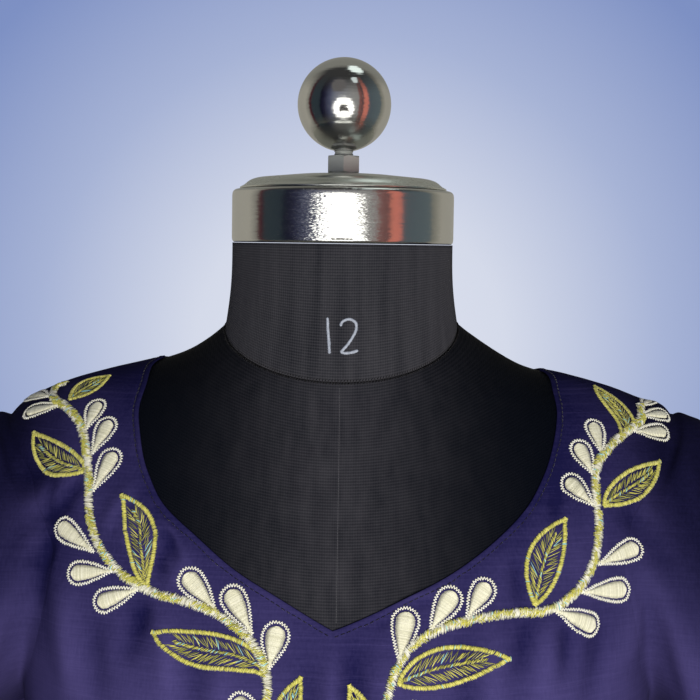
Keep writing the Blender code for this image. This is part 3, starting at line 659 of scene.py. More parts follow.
@dataclass(frozen=True)
class PolishedSteel(Finish):
    """Polished plate with fine scratches that run one way."""

    name: str = "polished_steel"
    metal: Triple = (0.66, 0.66, 0.64)
    haze: Triple = (0.46, 0.46, 0.45)
    roughness: float = 0.10
    scratches: Triple = (60.0, 60.0, 2600.0)
    sway: float = 0.16
    rubbed: float = 0.0
    rubbed_at: float = 0.005
    metallic: float = 1.0

    def paint(self, graph: Graph) -> Sockets:
        """Scratch and haze the plate, and let its face sway a little round the axis.

        Args:
            graph: The material's graph.

        Returns:
            Values by the sockets' names.
        """
        scratch = graph.grain(self.scratches, 3.0)
        patch = graph.grain(26.0, 3.0)
        marks = (scratch - 0.5).call("ABSOLUTE") * 2.0 * patch
        normal = graph.term("ShaderNodeNewGeometry", output=1)
        round_it = graph.vector("CROSS_PRODUCT", {0: (0.0, 0.0, 1.0), 1: normal})
        x = graph.axes(graph.place())[0] + self.rubbed_at
        near = math.e ** (x * x * -2600.0)
        sway = (graph.grain((150.0, 150.0, 1500.0)) - 0.5) * patch * self.sway
        sway = sway + (graph.grain((800.0, 800.0, 2600.0)) - 0.5) * near * self.rubbed
        moved = graph.vector("ADD", {0: graph.vector("SCALE", {0: round_it, 3: sway}), 1: normal})
        return {
            "Base Color": graph.mix(patch * 0.5, self.metal, self.haze),
            "Roughness": marks * 0.35 + self.roughness + patch * 0.06,
            "Normal": graph.bump(scratch * 0.6 + patch * 3.0, 0.0002, 0.12, moved),
            "Metallic": self.metallic,
        }


@dataclass(frozen=True)
class PaintedSteel(Finish):
    """Satin black paint with a fine orange-peel texture and dust."""

    name: str = "black_paint"
    paint_colour: Triple = (0.016, 0.016, 0.018)
    dust: Triple = (0.045, 0.045, 0.047)

    def paint(self, graph: Graph) -> Sockets:
        """Spray and dust the paint.

        Args:
            graph: The material's graph.

        Returns:
            Values by the sockets' names.
        """
        patch = graph.grain(14.0, 4.0)
        return {
            "Base Color": graph.mix(patch * patch, self.paint_colour, self.dust),
            "Roughness": 0.34 + patch * 0.2,
            "Normal": graph.bump(graph.grain(700.0), 0.0002, 0.25),
        }


@dataclass(frozen=True)
class Thread(Finish):
    """Embroidery or sewing thread, whose colour follows each stitch's own tone."""

    name: str
    tones: tuple[tuple[float, Triple], ...]
    roughness: float = 0.48
    sheen: float = 0.3

    def paint(self, graph: Graph) -> Sockets:
        """Colour each stitch and twist its strands.

        Args:
            graph: The material's graph.

        Returns:
            Values by the sockets' names.
        """
        strand = graph.grain(1900.0)
        colour = graph.ramp(graph.attribute("tone") + strand * 0.10 - 0.05, list(self.tones))
        shade = {"Value": strand * 0.5 + 0.75, "Color": colour}
        return {
            "Base Color": graph.term("ShaderNodeHueSaturation", None, shade),
            "Normal": graph.bump(strand, 0.0003, 0.4),
            "Roughness": self.roughness,
            "Sheen Weight": self.sheen,
            "Sheen Roughness": 0.35,
        }


@dataclass(frozen=True)
class Chalk(Finish):
    """White chalk, thin where it skipped over the net."""

    name: str = "white_chalk"
    thin: Triple = (0.16, 0.18, 0.21)
    thick: Triple = (0.50, 0.53, 0.60)

    def paint(self, graph: Graph) -> Sockets:
        """Leave gaps in the chalk.

        Args:
            graph: The material's graph.

        Returns:
            Values by the sockets' names.
        """
        skip = graph.grain(900.0, 3.0)
        colour = graph.mix(skip, self.thin, self.thick)
        return {"Base Color": colour, "Normal": graph.bump(skip, 0.0003, 0.6), "Roughness": 0.95}


@dataclass(frozen=True)
class PlainFloor(Finish):
    """Pale matt floor."""

    name: str = "pale_floor"
    dim: Triple = (0.66, 0.68, 0.74)
    pale: Triple = (0.72, 0.74, 0.79)

    def paint(self, graph: Graph) -> Sockets:
        """Vary the floor very slightly."""
        return {"Base Color": graph.mix(graph.grain(3.0, 3.0), self.dim, self.pale), "Roughness": 0.7}


class Colours(Enum):
    """Thread colours, as ramps from tone 0 to tone 1."""

    IVORY = ((0.0, (0.56, 0.54, 0.37)), (0.5, (0.80, 0.77, 0.57)), (1.0, (0.94, 0.92, 0.81)))
    OLIVE = (
        (0, (0.13, 0.14, 0.025)),
        (0.3, (0.35, 0.335, 0.066)),
        (0.6, (0.58, 0.54, 0.105)),
        (0.92, (0.74, 0.69, 0.21)),
        (1, (0.30, 0.60, 0.60)),
    )
    TWIST = (
        (0, (0.44, 0.42, 0.30)),
        (0.12, (0.72, 0.70, 0.53)),
        (0.40, (0.84, 0.82, 0.68)),
        (0.5, (0.24, 0.24, 0.025)),
        (0.62, (0.45, 0.43, 0.06)),
        (0.92, (0.60, 0.55, 0.11)),
        (1, (0.30, 0.62, 0.62)),
    )
    NAVY = ((0.0, (0.0015, 0.0015, 0.006)), (1.0, (0.006, 0.005, 0.016)))
    BLACK = ((0.0, (0.0025, 0.0025, 0.003)), (0.85, (0.010, 0.010, 0.012)), (1.0, (0.075, 0.074, 0.080)))


def smooth_step(value: Array | float) -> Array:
    """Ease from 0 to 1 as value goes from 0 to 1."""
    value = np.clip(value, 0.0, 1.0)
    return value * value * (3.0 - 2.0 * value)


def bell(value: Array) -> Array:
    """Fall from 1 at value 0 to nearly 0 past 2, on both sides."""
    return np.exp(-(value**2))


def unit(vectors: Array) -> Array:
    """Scale vectors to length 1."""
    return vectors / np.maximum(np.linalg.norm(vectors, axis=-1, keepdims=True), 1e-9)


def hermite(t: Array, step: Array, ends: tuple[Array, Array], slopes: tuple[Array, Array]) -> Array:
    """Cubic between two ends a step apart, as t goes from 0 to 1, with its slopes at both ends."""
    rise = (t**3 - 2 * t**2 + t) * step * slopes[0] + (t**3 - t**2) * step * slopes[1]
    return (2 * t**3 - 3 * t**2 + 1) * ends[0] + (-2 * t**3 + 3 * t**2) * ends[1] + rise


class SmoothTable:
    """A smooth curve through a table's rows, column by column, that never overshoots a row."""

    def __init__(self, places: Array | list, rows: Array | list) -> None:
        """Work out the slopes at the rows.

        Args:
            places: Where each row stands, rising.
            rows: The rows of values.
        """
        self.places = np.asarray(places, float)
        self.rows = np.asarray(rows, float)
        steps = np.diff(self.places)[:, None]
        rises = np.diff(self.rows, axis=0) / steps
        self.slopes = np.zeros_like(self.rows)
        self.slopes[0], self.slopes[-1] = rises[0], rises[-1]
        before = 2.0 * steps[1:] + steps[:-1]
        after = steps[1:] + 2.0 * steps[:-1]
        same_way = rises[:-1] * rises[1:] > 0.0
        first = np.where(same_way, rises[:-1], 1.0)
        second = np.where(same_way, rises[1:], 1.0)
        self.slopes[1:-1] = np.where(same_way, (before + after) / (before / first + after / second), 0.0)

    def at(self, place: Array | float) -> Array:
        """Read the table.

        Args:
            place: One place or an array of them.

        Returns:
            The row of values at each place, along a new last axis.
        """
        place = np.asarray(place, float)
        i = np.clip(np.searchsorted(self.places, place, side="right") - 1, 0, len(self.places) - 2)
        step = (self.places[i + 1] - self.places[i])[..., None]
        ends, slopes = (self.rows[i], self.rows[i + 1]), (self.slopes[i], self.slopes[i + 1])
        return hermite((place - self.places[i])[..., None] / step, step, ends, slopes)


def fold_height(folds: list[tuple], turn: Array, z: Array) -> Array:
    """Add up flutes.

    Args:
        folds: Rows of turn, width, depth, top and reach.
        turn: Turns in degrees.
        z: Heights.

    Returns:
        How far the flutes push the cloth out.
    """
    height = np.zeros(np.broadcast(turn, z).shape)
    for middle, width, depth, top, reach in folds:
        aside = (turn - middle + 180.0) % 360.0 - 180.0
        height = height + depth * smooth_step((top - z) / reach) * bell(aside / width)
    return height


@dataclass
class BodySurface:
    """A surface round the body. Turn is 0 at the centre front and 90 at the right; row counts level lines."""

    lines: list[tuple]
    folds: list[tuple] = field(default_factory=list)

    def __post_init__(self) -> None:
        """Make the smooth table of level lines."""
        self.table = SmoothTable(np.arange(len(self.lines)), self.lines)
        self.last_row = len(self.lines) - 1

    def points(self, turn: Array | float, row: Array | float) -> Array:
        """Find points of the surface.

        Args:
            turn: Turns in degrees.
            row: Level lines, which may lie between two.

        Returns:
            The points.
        """
        turn, row = np.broadcast_arrays(np.asarray(turn, float), np.asarray(row, float))
        side_z, half_width, front_z, front, back_z, back = np.moveaxis(self.table.at(row), -1, 0)
        across, forward = np.sin(np.radians(turn)), np.cos(np.radians(turn))
        blend = np.abs(forward) ** np.minimum(1.0 + row / RIDGE_ROWS, 2.0)
        ahead = forward > 0.0
        z = side_z + (np.where(ahead, front_z, back_z) - side_z) * blend
        beside = (np.abs(turn) - BUST_TURN) / BUST_SPREAD
        bust = BUST_DEPTH * np.exp(-(beside**2) - ((z - BUST_HEIGHT) / BUST_TALL) ** 2)
        y = -np.where(ahead, front, back) * forward - np.where(ahead, bust, 0.0)
        x = half_width * across
        near_ridge = bell(y / RIDGE_SAG_REACH) * smooth_step((z - RIDGE_SAG_FOOT) / RIDGE_SAG_REACH)
        for middle, width, depth in RIDGE_SAGS:
            z = z - depth * bell((x - middle) / width) * near_ridge
        found = np.stack((x, y, z), axis=-1)
        if self.folds:
            flat = found * np.array((1.0, 1.0, 0.0))
            found = found + unit(flat) * fold_height(self.folds, turn, z)[..., None]
        return found

    def normals(self, turn: Array | float, row: Array | float) -> Array:
        """Unit normals, pointing out of the body.

        Args:
            turn: Turns in degrees.
            row: Level lines, which may lie between two.

        Returns:
            The normals.
        """
        along = self.points(turn + SMALL_TURN, row) - self.points(turn - SMALL_TURN, row)
        down = self.points(turn, row + SMALL_ROW) - self.points(turn, row - SMALL_ROW)
        return unit(np.cross(down, along))

    def place(self, x: Array | float, z: Array | float, on_front: bool) -> tuple[Array, Array]:
        """Find where a place of the front or back view lies on the surface.

        Args:
            x: Across the view.
            z: Height.
            on_front: Whether it is the front view.

        Returns:
            Turn and row.
        """
        x, z = np.broadcast_arrays(np.asarray(x, float), np.asarray(z, float))
        low, high = np.zeros(x.shape), np.full(x.shape, float(self.last_row))

        def turn_at(row: Array) -> Array:
            """Turn at which a level line passes x."""
            turn = np.degrees(np.arcsin(np.clip(x / self.table.at(row)[..., 1], -1.0, 1.0)))
            return turn if on_front else np.copysign(180.0, x) - turn

        for _ in range(HALVINGS):
            middle = 0.5 * (low + high)
            above = self.points(turn_at(middle), middle)[..., 2] > z
            low, high = np.where(above, middle, low), np.where(above, high, middle)
        row = 0.5 * (low + high)
        return turn_at(row), row

    def at_view(self, x: Array | float, z: Array | float, on_front: bool = True) -> Array:
        """Points of the surface at places of the front or back view."""
        return self.points(*self.place(x, z, on_front))

    def walk(self, line: Array | list, share: Array | float) -> Array:
        """Go along a line on the surface.

        Args:
            line: Turns and rows of the line's points.
            share: Shares of the line's real length.

        Returns:
            Turns and rows, along a last axis of two.
        """
        line = np.asarray(line, float)
        lengths = lengths_along(self.points(*line.T))
        return SmoothTable(lengths, line).at(np.asarray(share) * lengths[-1])


def level(rows: list[tuple]) -> list[tuple]:
    """Give level lines one height at the side, front and back."""
    return [(z, side, z, front, z, back) for z, side, front, back in rows]


def grow_lines(lines: list[tuple], eases: list[tuple]) -> list[tuple]:
    """Move level lines out, square to the side, front and back outlines.

    Args:
        lines: The level lines.
        eases: How far each moves at the side, front and back.

    Returns:
        The moved lines.
    """
    table = np.array(lines, float)
    grown = table.copy()
    for column, ease in zip((0, 2, 4), np.array(eases).T):
        fall, reach = np.gradient(table[:, column]), np.gradient(table[:, column + 1])
        length = np.hypot(fall, reach)
        grown[:, column] += ease * reach / length
        grown[:, column + 1] -= ease * fall / length
    return [tuple(row) for row in grown]


def add_object(name: str, data: bpy.types.ID) -> Object:
    """Put a new object in the scene.

    Args:
        name: Its name.
        data: Its mesh, camera or lamp.

    Returns:
        The object.
    """
    thing = bpy.data.objects.new(name, data)
    bpy.context.scene.collection.objects.link(thing)
    return thing


def make_piece(
    name: str, points: Array, faces: Array | list, material: Material, slot: str, node: str = ""
) -> Object:
    """Make a smooth piece that rides on the part's body.

    Args:
        name: The piece's name.
        points: Its points in millimetres.
        faces: Its faces, as rows of point numbers.
        material: Its finish.
        slot: The record's finish that it takes.
        node: The CAD node that it replaces, if it does.

    Returns:
        The piece.
    """
    mesh = bpy.data.meshes.new(name)
    mesh.from_pydata(np.asarray(points) * MM, [], faces)
    mesh.materials.append(material)
    mesh.shade_smooth()
    piece = add_object(name, mesh)
    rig.ride(piece, BODY)
    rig.slot(piece, slot)
    if node:
        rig.replaces(piece, node)
    LOG.info("%s: %d faces", name, len(mesh.polygons))
    return piece


def tube_faces(number: Array) -> Array:
    """Faces of tubes whose points are numbered ring by ring along the last two axes.

    Args:
        number: The points' numbers.

    Returns:
        Rows of four point numbers.
    """
    after = np.roll(number, -1, axis=-1)
    corners = (number[..., :-1, :], after[..., :-1, :], after[..., 1:, :], number[..., 1:, :])
    return np.stack(corners, axis=-1).reshape(-1, 4)


def face_out(mesh: Mesh) -> None:
    """Turn a closed mesh's faces outwards.

    Args:
        mesh: The mesh.
    """
    work = bmesh.new()
    work.from_mesh(mesh)
    bmesh.ops.recalc_face_normals(work, faces=work.faces)
    work.to_mesh(mesh)
    work.free()


def distance_to_line(points: Array, line: Array) -> tuple[Array, Array]:
    """Measure how far points lie from a line of points.

    Args:
        points: The points, along a last axis of three.
        line: The line's points.

    Returns:
        The distances, and the share of the line at which each point's nearest place lies.
    """
    best = np.full(points.shape[:-1], 1e9)
    share = np.zeros(points.shape[:-1])
    for i, (start, end) in enumerate(zip(line, line[1:])):
        step = end - start
        t = np.clip(((points - start) @ step) / max(float(step @ step), 1e-9), 0.0, 1.0)
        away = np.linalg.norm(points - start - t[..., None] * step, axis=-1)
        nearer = away < best
        best = np.where(nearer, away, best)
        share = np.where(nearer, (i + t) / (len(line) - 1), share)
    return best, share


def lengths_along(path: Array) -> Array:
    """Length of a path up to each of its points."""
    return np.concatenate(([0.0], np.cumsum(np.linalg.norm(np.diff(path, axis=0), axis=1))))


def resample(path: Array, pitch: float) -> Array:
    """Space points evenly on a path.

    Args:
        path: The path's points.
        pitch: Their new distance.

    Returns:
        The new points, from the path's start to its end.
    """
    lengths = lengths_along(path)
    count = max(int(round(lengths[-1] / pitch)), 2)
    places = np.linspace(0.0, lengths[-1], count + 1)
    return np.stack([np.interp(places, lengths, path[:, i]) for i in range(path.shape[1])], axis=-1)


def curve_through(places: list[tuple] | Array, count: int) -> Array:
    """Draw a rounded curve through places.

    Args:
        places: Three places or more, of two or three numbers each.
        count: How many points the curve gets.

    Returns:
        The curve's points.
    """
    rows = np.asarray(places, float)
    steps = np.sqrt(np.linalg.norm(np.diff(rows, axis=0), axis=1))
    knots = np.concatenate(([0.0], np.cumsum(steps)))
    padded = np.vstack((2 * rows[0] - rows[1], rows, 2 * rows[-1] - rows[-2]))
    tangents = (padded[2:] - padded[:-2]) / np.gradient(knots)[:, None] / 2.0
    at = np.linspace(0.0, knots[-1], count)
    i = np.clip(np.searchsorted(knots, at, side="right") - 1, 0, len(knots) - 2)
    step = (knots[i + 1] - knots[i])[:, None]
    ends, slopes = (rows[i], rows[i + 1]), (tangents[i], tangents[i + 1])
    return hermite((at - knots[i])[:, None] / step, step, ends, slopes)


def crease_height(points: Array, line: Array, width: float, depth: float) -> Array:
    """Rise of a soft ridge along a line, or of a trough where depth is below 0, which fades at both ends."""
    away, share = distance_to_line(points, line)
    return depth * np.sin(np.pi * np.clip(share, 0.02, 0.98)) ** 0.7 * bell(away / width)


def ripple(points: Array, size: float) -> Array:
    """Smooth noise at points, from about -1 to 1, with waves of a size in millimetres."""
    values = [noise.noise(Vector(point)) for point in (points.reshape(-1, 3) / size).tolist()]
    return np.array(values).reshape(points.shape[:-1])


def cloth_relief(points: Array, creases: tuple) -> Array:
    """Find how far creases and unevenness move the cloth, alike on both sides of an armhole seam.

    Args:
        points: The smooth cloth's points.
        creases: Rows of x and z of the places that a crease runs through, its width and its depth.

    Returns:
        The heights.
    """
    height = np.zeros(points.shape[:-1])
    for *path, width, depth in creases:
        line = curve_through(np.reshape(path, (-1, 2)), CREASE_POINTS)
        height += crease_height(points[..., ::2], line, width, depth)
    skirt = smooth_step((SKIRT_START - points[..., 2]) / SKIRT_REACH)
    height += ripple(points * np.array((1.0, 1.0, 0.45)), 34.0) * (0.5 + 1.6 * skirt)
    height += ripple(points * np.array((1.0, 1.0, 0.6)), 19.0) * 0.42
    return height + ripple(points, 8.0) * 0.12


def set_values(piece: Object, name: str, values: Array) -> None:
    """Give each point of a piece a value that its finish reads."""
    attribute = piece.data.attributes.new(name, "FLOAT", "POINT")
    attribute.data.foreach_set("value", np.asarray(values, np.float32).ravel())


@dataclass
class Wall:
    """A sheet of cloth as a closed wall with rolled edges."""

    points: Array
    normals: Array
    quads: Array
    rolls: Array
    # Relief height at each point, which the finish paints as shade in troughs and highlights on ridges.
    rises: Array
    thickness: float = CLOTH_WALL
    rim_levels: tuple[float, float] = (0.22, 0.78)
    sharp_angle: float = 62.0

    def rim(self) -> tuple[Array, Array]:
        """Find the sheet's edges and the way out of the sheet at each.

        Returns:
            Pairs of point numbers, and an outward direction for every point.
        """
        pairs = np.concatenate([self.quads[:, (i, (i + 1) % 4)] for i in range(4)])
        count = len(self.points)
        codes = pairs[:, 0] * count + pairs[:, 1]
        edges = pairs[~np.isin(codes, pairs[:, 1] * count + pairs[:, 0])]
        out = np.zeros_like(self.points)
        steps = self.points[edges[:, 1]] - self.points[edges[:, 0]]
        sideways = np.cross(steps, self.normals[edges[:, 0]])
        np.add.at(out, edges[:, 0], sideways)
        np.add.at(out, edges[:, 1], sideways)
        return edges, unit(out)

    def build(self, name: str, node: str, material: Material) -> Object:
        """Make the wall: outer face, inner face and a rolled rim between them.

        Args:
            name: The piece's name.
            node: The CAD node that it replaces.
            material: Its finish.

        Returns:
            The piece.
        """
        edges, out = self.rim()
        rim = np.unique(edges)
        count = len(self.points)
        slot = np.full(count, -1)
        slot[rim] = np.arange(len(rim))
        roll = self.rolls[rim, None] * out[rim]
        stack = [self.points, self.points - self.thickness * self.normals]
        for share in self.rim_levels:
            stack.append(self.points[rim] - share * self.thickness * self.normals[rim] + roll)
        first = 2 * count + slot[edges]
        rings = [edges, first, first + len(rim), edges + count]
        bands = [np.hstack((high[:, ::-1], low)) for high, low in zip(rings, rings[1:])]
        faces = np.vstack((self.quads, self.quads[:, ::-1] + count, *bands))
        piece = make_piece(name, np.vstack(stack), faces, material, "cloth", node)
        piece.data.set_sharp_from_angle(angle=math.radians(self.sharp_angle))
        # The relief heights go to the finish for painted crease shade and ridge highlights.
        rises = (self.rises, self.rises, self.rises[rim], self.rises[rim])
        set_values(piece, "rise", np.concatenate(rises))
        return piece


def armhole_line(side: int, on_front: bool) -> Array:
    """Turns and rows of one half of an armhole, from the shoulder's tip to the underarm.

    Args:
        side: -1 for the photo's left, 1 for its right.
        on_front: Whether it is the front's half.

    Returns:
        A turn and a row for each place.
    """
    hole = np.array(ARMHOLE, float)
    if on_front:
        return np.column_stack((side * hole[:, 0], hole[:, 1]))
    return np.column_stack((side * (180.0 - hole[:, 2]), hole[:, 3]))


def swell(away: Array, shape: Triple) -> Array:
    """Rise that runs along a line: its height, how far from the line it lies and its spread."""
    height, middle, spread = shape
    return height * bell((away - middle) / spread)


@dataclass
class Panel:
    """The front or the back, as a fine grid on the garment's surface."""

    name: str
    node: str
    surface: BodySurface
    creases: tuple
    sewn: list[Array] = field(default_factory=list)
    fine: int = 6
    columns: int = 78
    crowding: float = 0.55
    seam_reach: float = 9.0
    neck_reach: float = 22.0
    hug_reach: float = 50.0
    # Painted shade along the upper neckline: its depth in the heights that the finish paints with, where it starts and
    # how far up it grows.
    neck_shade_depth: float = 2.2
    neck_shade_foot: float = 1312.0
    neck_shade_rise: float = 40.0
    vine_wave: float = 7.0
    # Here and below: height, distance from the line and spread.
    vine_pucker: Triple = (0.42, 6.0, 7.0)
    neck_wave: float = 3.6
    neck_pucker: Triple = (0.22, 3.4, 2.8)
    edge_band: Triple = (0.26, 1.3, 1.1)
    stitch_dip: Triple = (-0.34, 2.8, 0.8)

    def __post_init__(self) -> None:
        """Work out the neckline and the numbers of rows."""
        self.on_front = self.node == "front"
        self.neck_rows = NECK_ROWS if self.on_front else BACK_NECK_ROWS
        self.body_rows = NECK_ROWS + BODICE_ROWS + SKIRT_ROWS
        self.steps = np.arange(self.body_rows * self.fine + 1) / self.fine
        self.necklines = {side: self.neckline(side) for side in (-1, 1)}

    def shoulder_place(self, side: int) -> tuple[float, float]:
        """Turn and row of the neckline's end on the shoulder seam.

        Args:
            side: -1 for the left half, 1 for the right.

        Returns:
            The turn and the row.
        """
        rows = np.arange(0.0, 8.0, SHOULDER_STEP)
        wide = self.surface.table.at(rows)[:, 1] >= NECK_AT_SHOULDER[side]
        return side * SIDE_TURN, float(rows[np.argmax(wide)])

    def neckline(self, side: int) -> Array:
        """Lay out one half of the neckline.

        Args:
            side: -1 for the left half, 1 for the right.

        Returns:
            Turns and rows from the shoulder seam to the centre.
        """
        turn, row = self.shoulder_place(side)
        if self.on_front:
            z, *edges = np.array(NECKLINE).T
            x = edges[0 if side < 0 else 1]
        else:
            start = BodySurface(self.surface.lines).points(turn, row)
            angle = np.radians(90.0) * np.arange(1, BACK_NECK_POINTS + 1) / BACK_NECK_POINTS
            x = start[0] * np.cos(angle)
            x[-1] = side * 0.001
            z = start[2] + (BACK_NECK_BOTTOM - start[2]) * np.sin(angle)
        turns, rows = self.surface.place(x, z, self.on_front)
        return np.column_stack((np.append(turn, turns), np.append(row, rows)))

    def level_row(self, step: Array) -> Array:
        """Level line that a row of the lower part follows.

        Args:
            step: The grid's rows.

        Returns:
            The level lines.
        """
        underarm = ARMHOLE[-1][1]
        below = self.surface.last_row - underarm
        return underarm + below * (step - NECK_ROWS) / (self.body_rows - NECK_ROWS)

    def inner_places(self, side: int) -> Array:
        """Turns and rows of the rows' inner ends: on the neckline, then down the centre line.

        Args:
            side: The half's side.

        Returns:
            A turn and a row for each.
        """
        line = self.necklines[side]
        on_neck = self.surface.walk(line, np.minimum(self.steps / self.neck_rows, 1.0))
        edge_turn, start_row = self.surface.walk(line, 1.0)
        below = self.steps - self.neck_rows
        blend = smooth_step(below / BODICE_ROWS)
        share = below / (self.body_rows - self.neck_rows)
        straight = start_row + (self.surface.last_row - start_row) * share
        rest = 0.0 if self.on_front else 180.0 * side
        turn = rest + (edge_turn - rest) * (1.0 - blend)
        row = straight + (self.level_row(self.steps) - straight) * blend
        return np.where((below <= 0)[:, None], on_neck, np.column_stack((turn, row)))

    def seam_shift(self, side: int, row: Array) -> Array:
        """Turn that opens half of the seam's gap at the side and along the shoulder."""
        reach = self.surface.table.at(row)[..., 3 if self.on_front else 5]
        return np.degrees(0.5 * SEWN_GAP / reach) * (-side if self.on_front else side)

    def outer_places(self, side: int) -> Array:
        """Turns and rows of the rows' outer ends: on the armhole, then down the side seam and the slit.

        Args:
            side: The half's side.

        Returns:
            A turn and a row for each.
        """
        upper = self.surface.walk(armhole_line(side, self.on_front), np.minimum(self.steps / NECK_ROWS, 1.0))
        row = self.level_row(self.steps)
        opened = SLIT_SPREAD * smooth_step((SLIT_TOP - self.surface.table.at(row)[:, 0]) / (SLIT_TOP - HEM))
        away = -side if self.on_front else side
        lower = np.column_stack((side * SIDE_TURN + self.seam_shift(side, row) + opened * away, row))
        return np.where((self.steps < NECK_ROWS)[:, None], upper, lower)

    def half(self, side: int) -> tuple[Array, Array]:
        """Lay out the grid of one half.

        Args:
            side: -1 for the left half, 1 for the right.

        Returns:
            Turns and rows of the grid.
        """
        inner, outer = self.inner_places(side), self.outer_places(side)
        even = np.linspace(0.0, 1.0, self.columns + 1)
        share = even - self.crowding * np.sin(math.tau * even) / math.tau
        sag = np.zeros(len(self.steps))
        if self.on_front:
            above = (np.minimum(self.steps, NECK_ROWS) / NECK_ROWS) ** 1.5
            sag = FRONT_ROW_SAG * above * (1.0 - smooth_step((self.steps - NECK_ROWS) / BODICE_ROWS))
        turn = inner[:, :1] + (outer[:, :1] - inner[:, :1]) * share
        row = inner[:, 1:] + (outer[:, 1:] - inner[:, 1:]) * share + sag[:, None] * np.sin(np.pi * share)
        turn[0] = side * SIDE_TURN + self.seam_shift(side, row[0])
        return turn, row

    def relief(self, points: Array, seams: list[Array], neck_edge: Array) -> list[Array]:
        """Find how far creases, puckers and unevenness move the cloth.

        Args:
            points: The smooth surface's points.
            seams: Lines along which the cloth is held.
            neck_edge: The neckline.

        Returns:
            The heights in all, and the heights of the folds alone less a painted shade along the upper neckline, which
            the finish paints with.
        """
        height = cloth_relief(points, self.creases)
        for line in self.sewn:
            away, _ = distance_to_line(points, line)
            height += ripple(points, self.vine_wave) * swell(away, self.vine_pucker)
        held = np.min([distance_to_line(points, seam)[0] for seam in seams], axis=0)
        height *= smooth_step(held / self.seam_reach)
        away, _ = distance_to_line(points, neck_edge)
        height = np.maximum(height, DEEPEST * smooth_step(away / self.neck_reach) - UNEVEN_DEPTH)
        height += ripple(points, self.neck_wave) * swell(away, self.neck_pucker)
        band = swell(away, self.edge_band) + swell(away, self.stitch_dip)
        close = HUG * (1.0 - smooth_step(away / self.hug_reach))
        # Painted shade along the neckline, up high, only in the heights that the finish paints with.
        high = smooth_step((points[..., 2] - self.neck_shade_foot) / self.neck_shade_rise)
        return [height + band - close, height - self.neck_shade_depth * bell(away / self.neck_reach) * high]

    def build(self, material: Material) -> Object:
        """Make the panel.

        Args:
            material: The cloth's finish.

        Returns:
            The piece.
        """
        halves = [self.half(side) for side in (-1, 1)]
        grids = [self.surface.points(*half) for half in halves]
        neck_row, hole_row = self.neck_rows * self.fine, NECK_ROWS * self.fine
        neck_edge = np.vstack((grids[0][: neck_row + 1, 0], grids[1][neck_row::-1, 0]))
        slit_row = int(np.argmax(grids[1][:, -1, 2] < SLIT_TOP))
        shape = grids[0].shape[:2]
        roll = np.full(shape, EDGE_ROLL)
        roll[0] = SEAM_ROLL
        roll[: slit_row + 1, -1] = SEAM_ROLL
        number = np.arange(roll.size).reshape(shape)
        numbers = [number, number + roll.size]
        numbers[1][neck_row:, 0] = number[neck_row:, 0]
        points, normals, rises, quads = [], [], [], []
        for half, grid, number in zip(halves, grids, numbers):
            normal = self.surface.normals(*half)
            normal[0, :, 1] = 0.0
            normal[hole_row:, -1, 1] = 0.0
            normals.append(unit(normal))
            seams = [grid[0, ::6], grid[hole_row : slit_row + 1 : 3, -1]]
            height, rise = self.relief(grid, seams, neck_edge[::2])
            points.append(grid + normals[-1] * height[..., None])
            # These heights feed the finish's painted crease shade and ridge highlights.
            rises.append(rise)
            corners = (number[:-1, :-1], number[1:, :-1], number[1:, 1:], number[:-1, 1:])
            quad = np.stack(corners, axis=-1).reshape(-1, 4)
            quads.append(quad if (number is numbers[1]) == self.on_front else quad[:, ::-1])
        self.neck_edge = np.vstack((points[0][: neck_row + 1, 0], points[1][neck_row - 1 :: -1, 0]))
        self.hem_edge = np.vstack((points[0][-1, ::-1], points[1][-1, 1:]))
        self.slit_edges = [grid[slit_row:, -1] for grid in points]
        used, compact = np.unique(np.vstack(quads), return_inverse=True)
        points, normals = (np.concatenate(grids).reshape(-1, 3)[used] for grids in (points, normals))
        rolls, rises = (np.concatenate(grids).ravel()[used] for grids in ((roll, roll), rises))
        self.sheet = (points, compact.reshape(-1, 4))
        wall = Wall(points, normals, self.sheet[1], rolls, rises)
        return wall.build(self.name, self.node, material)


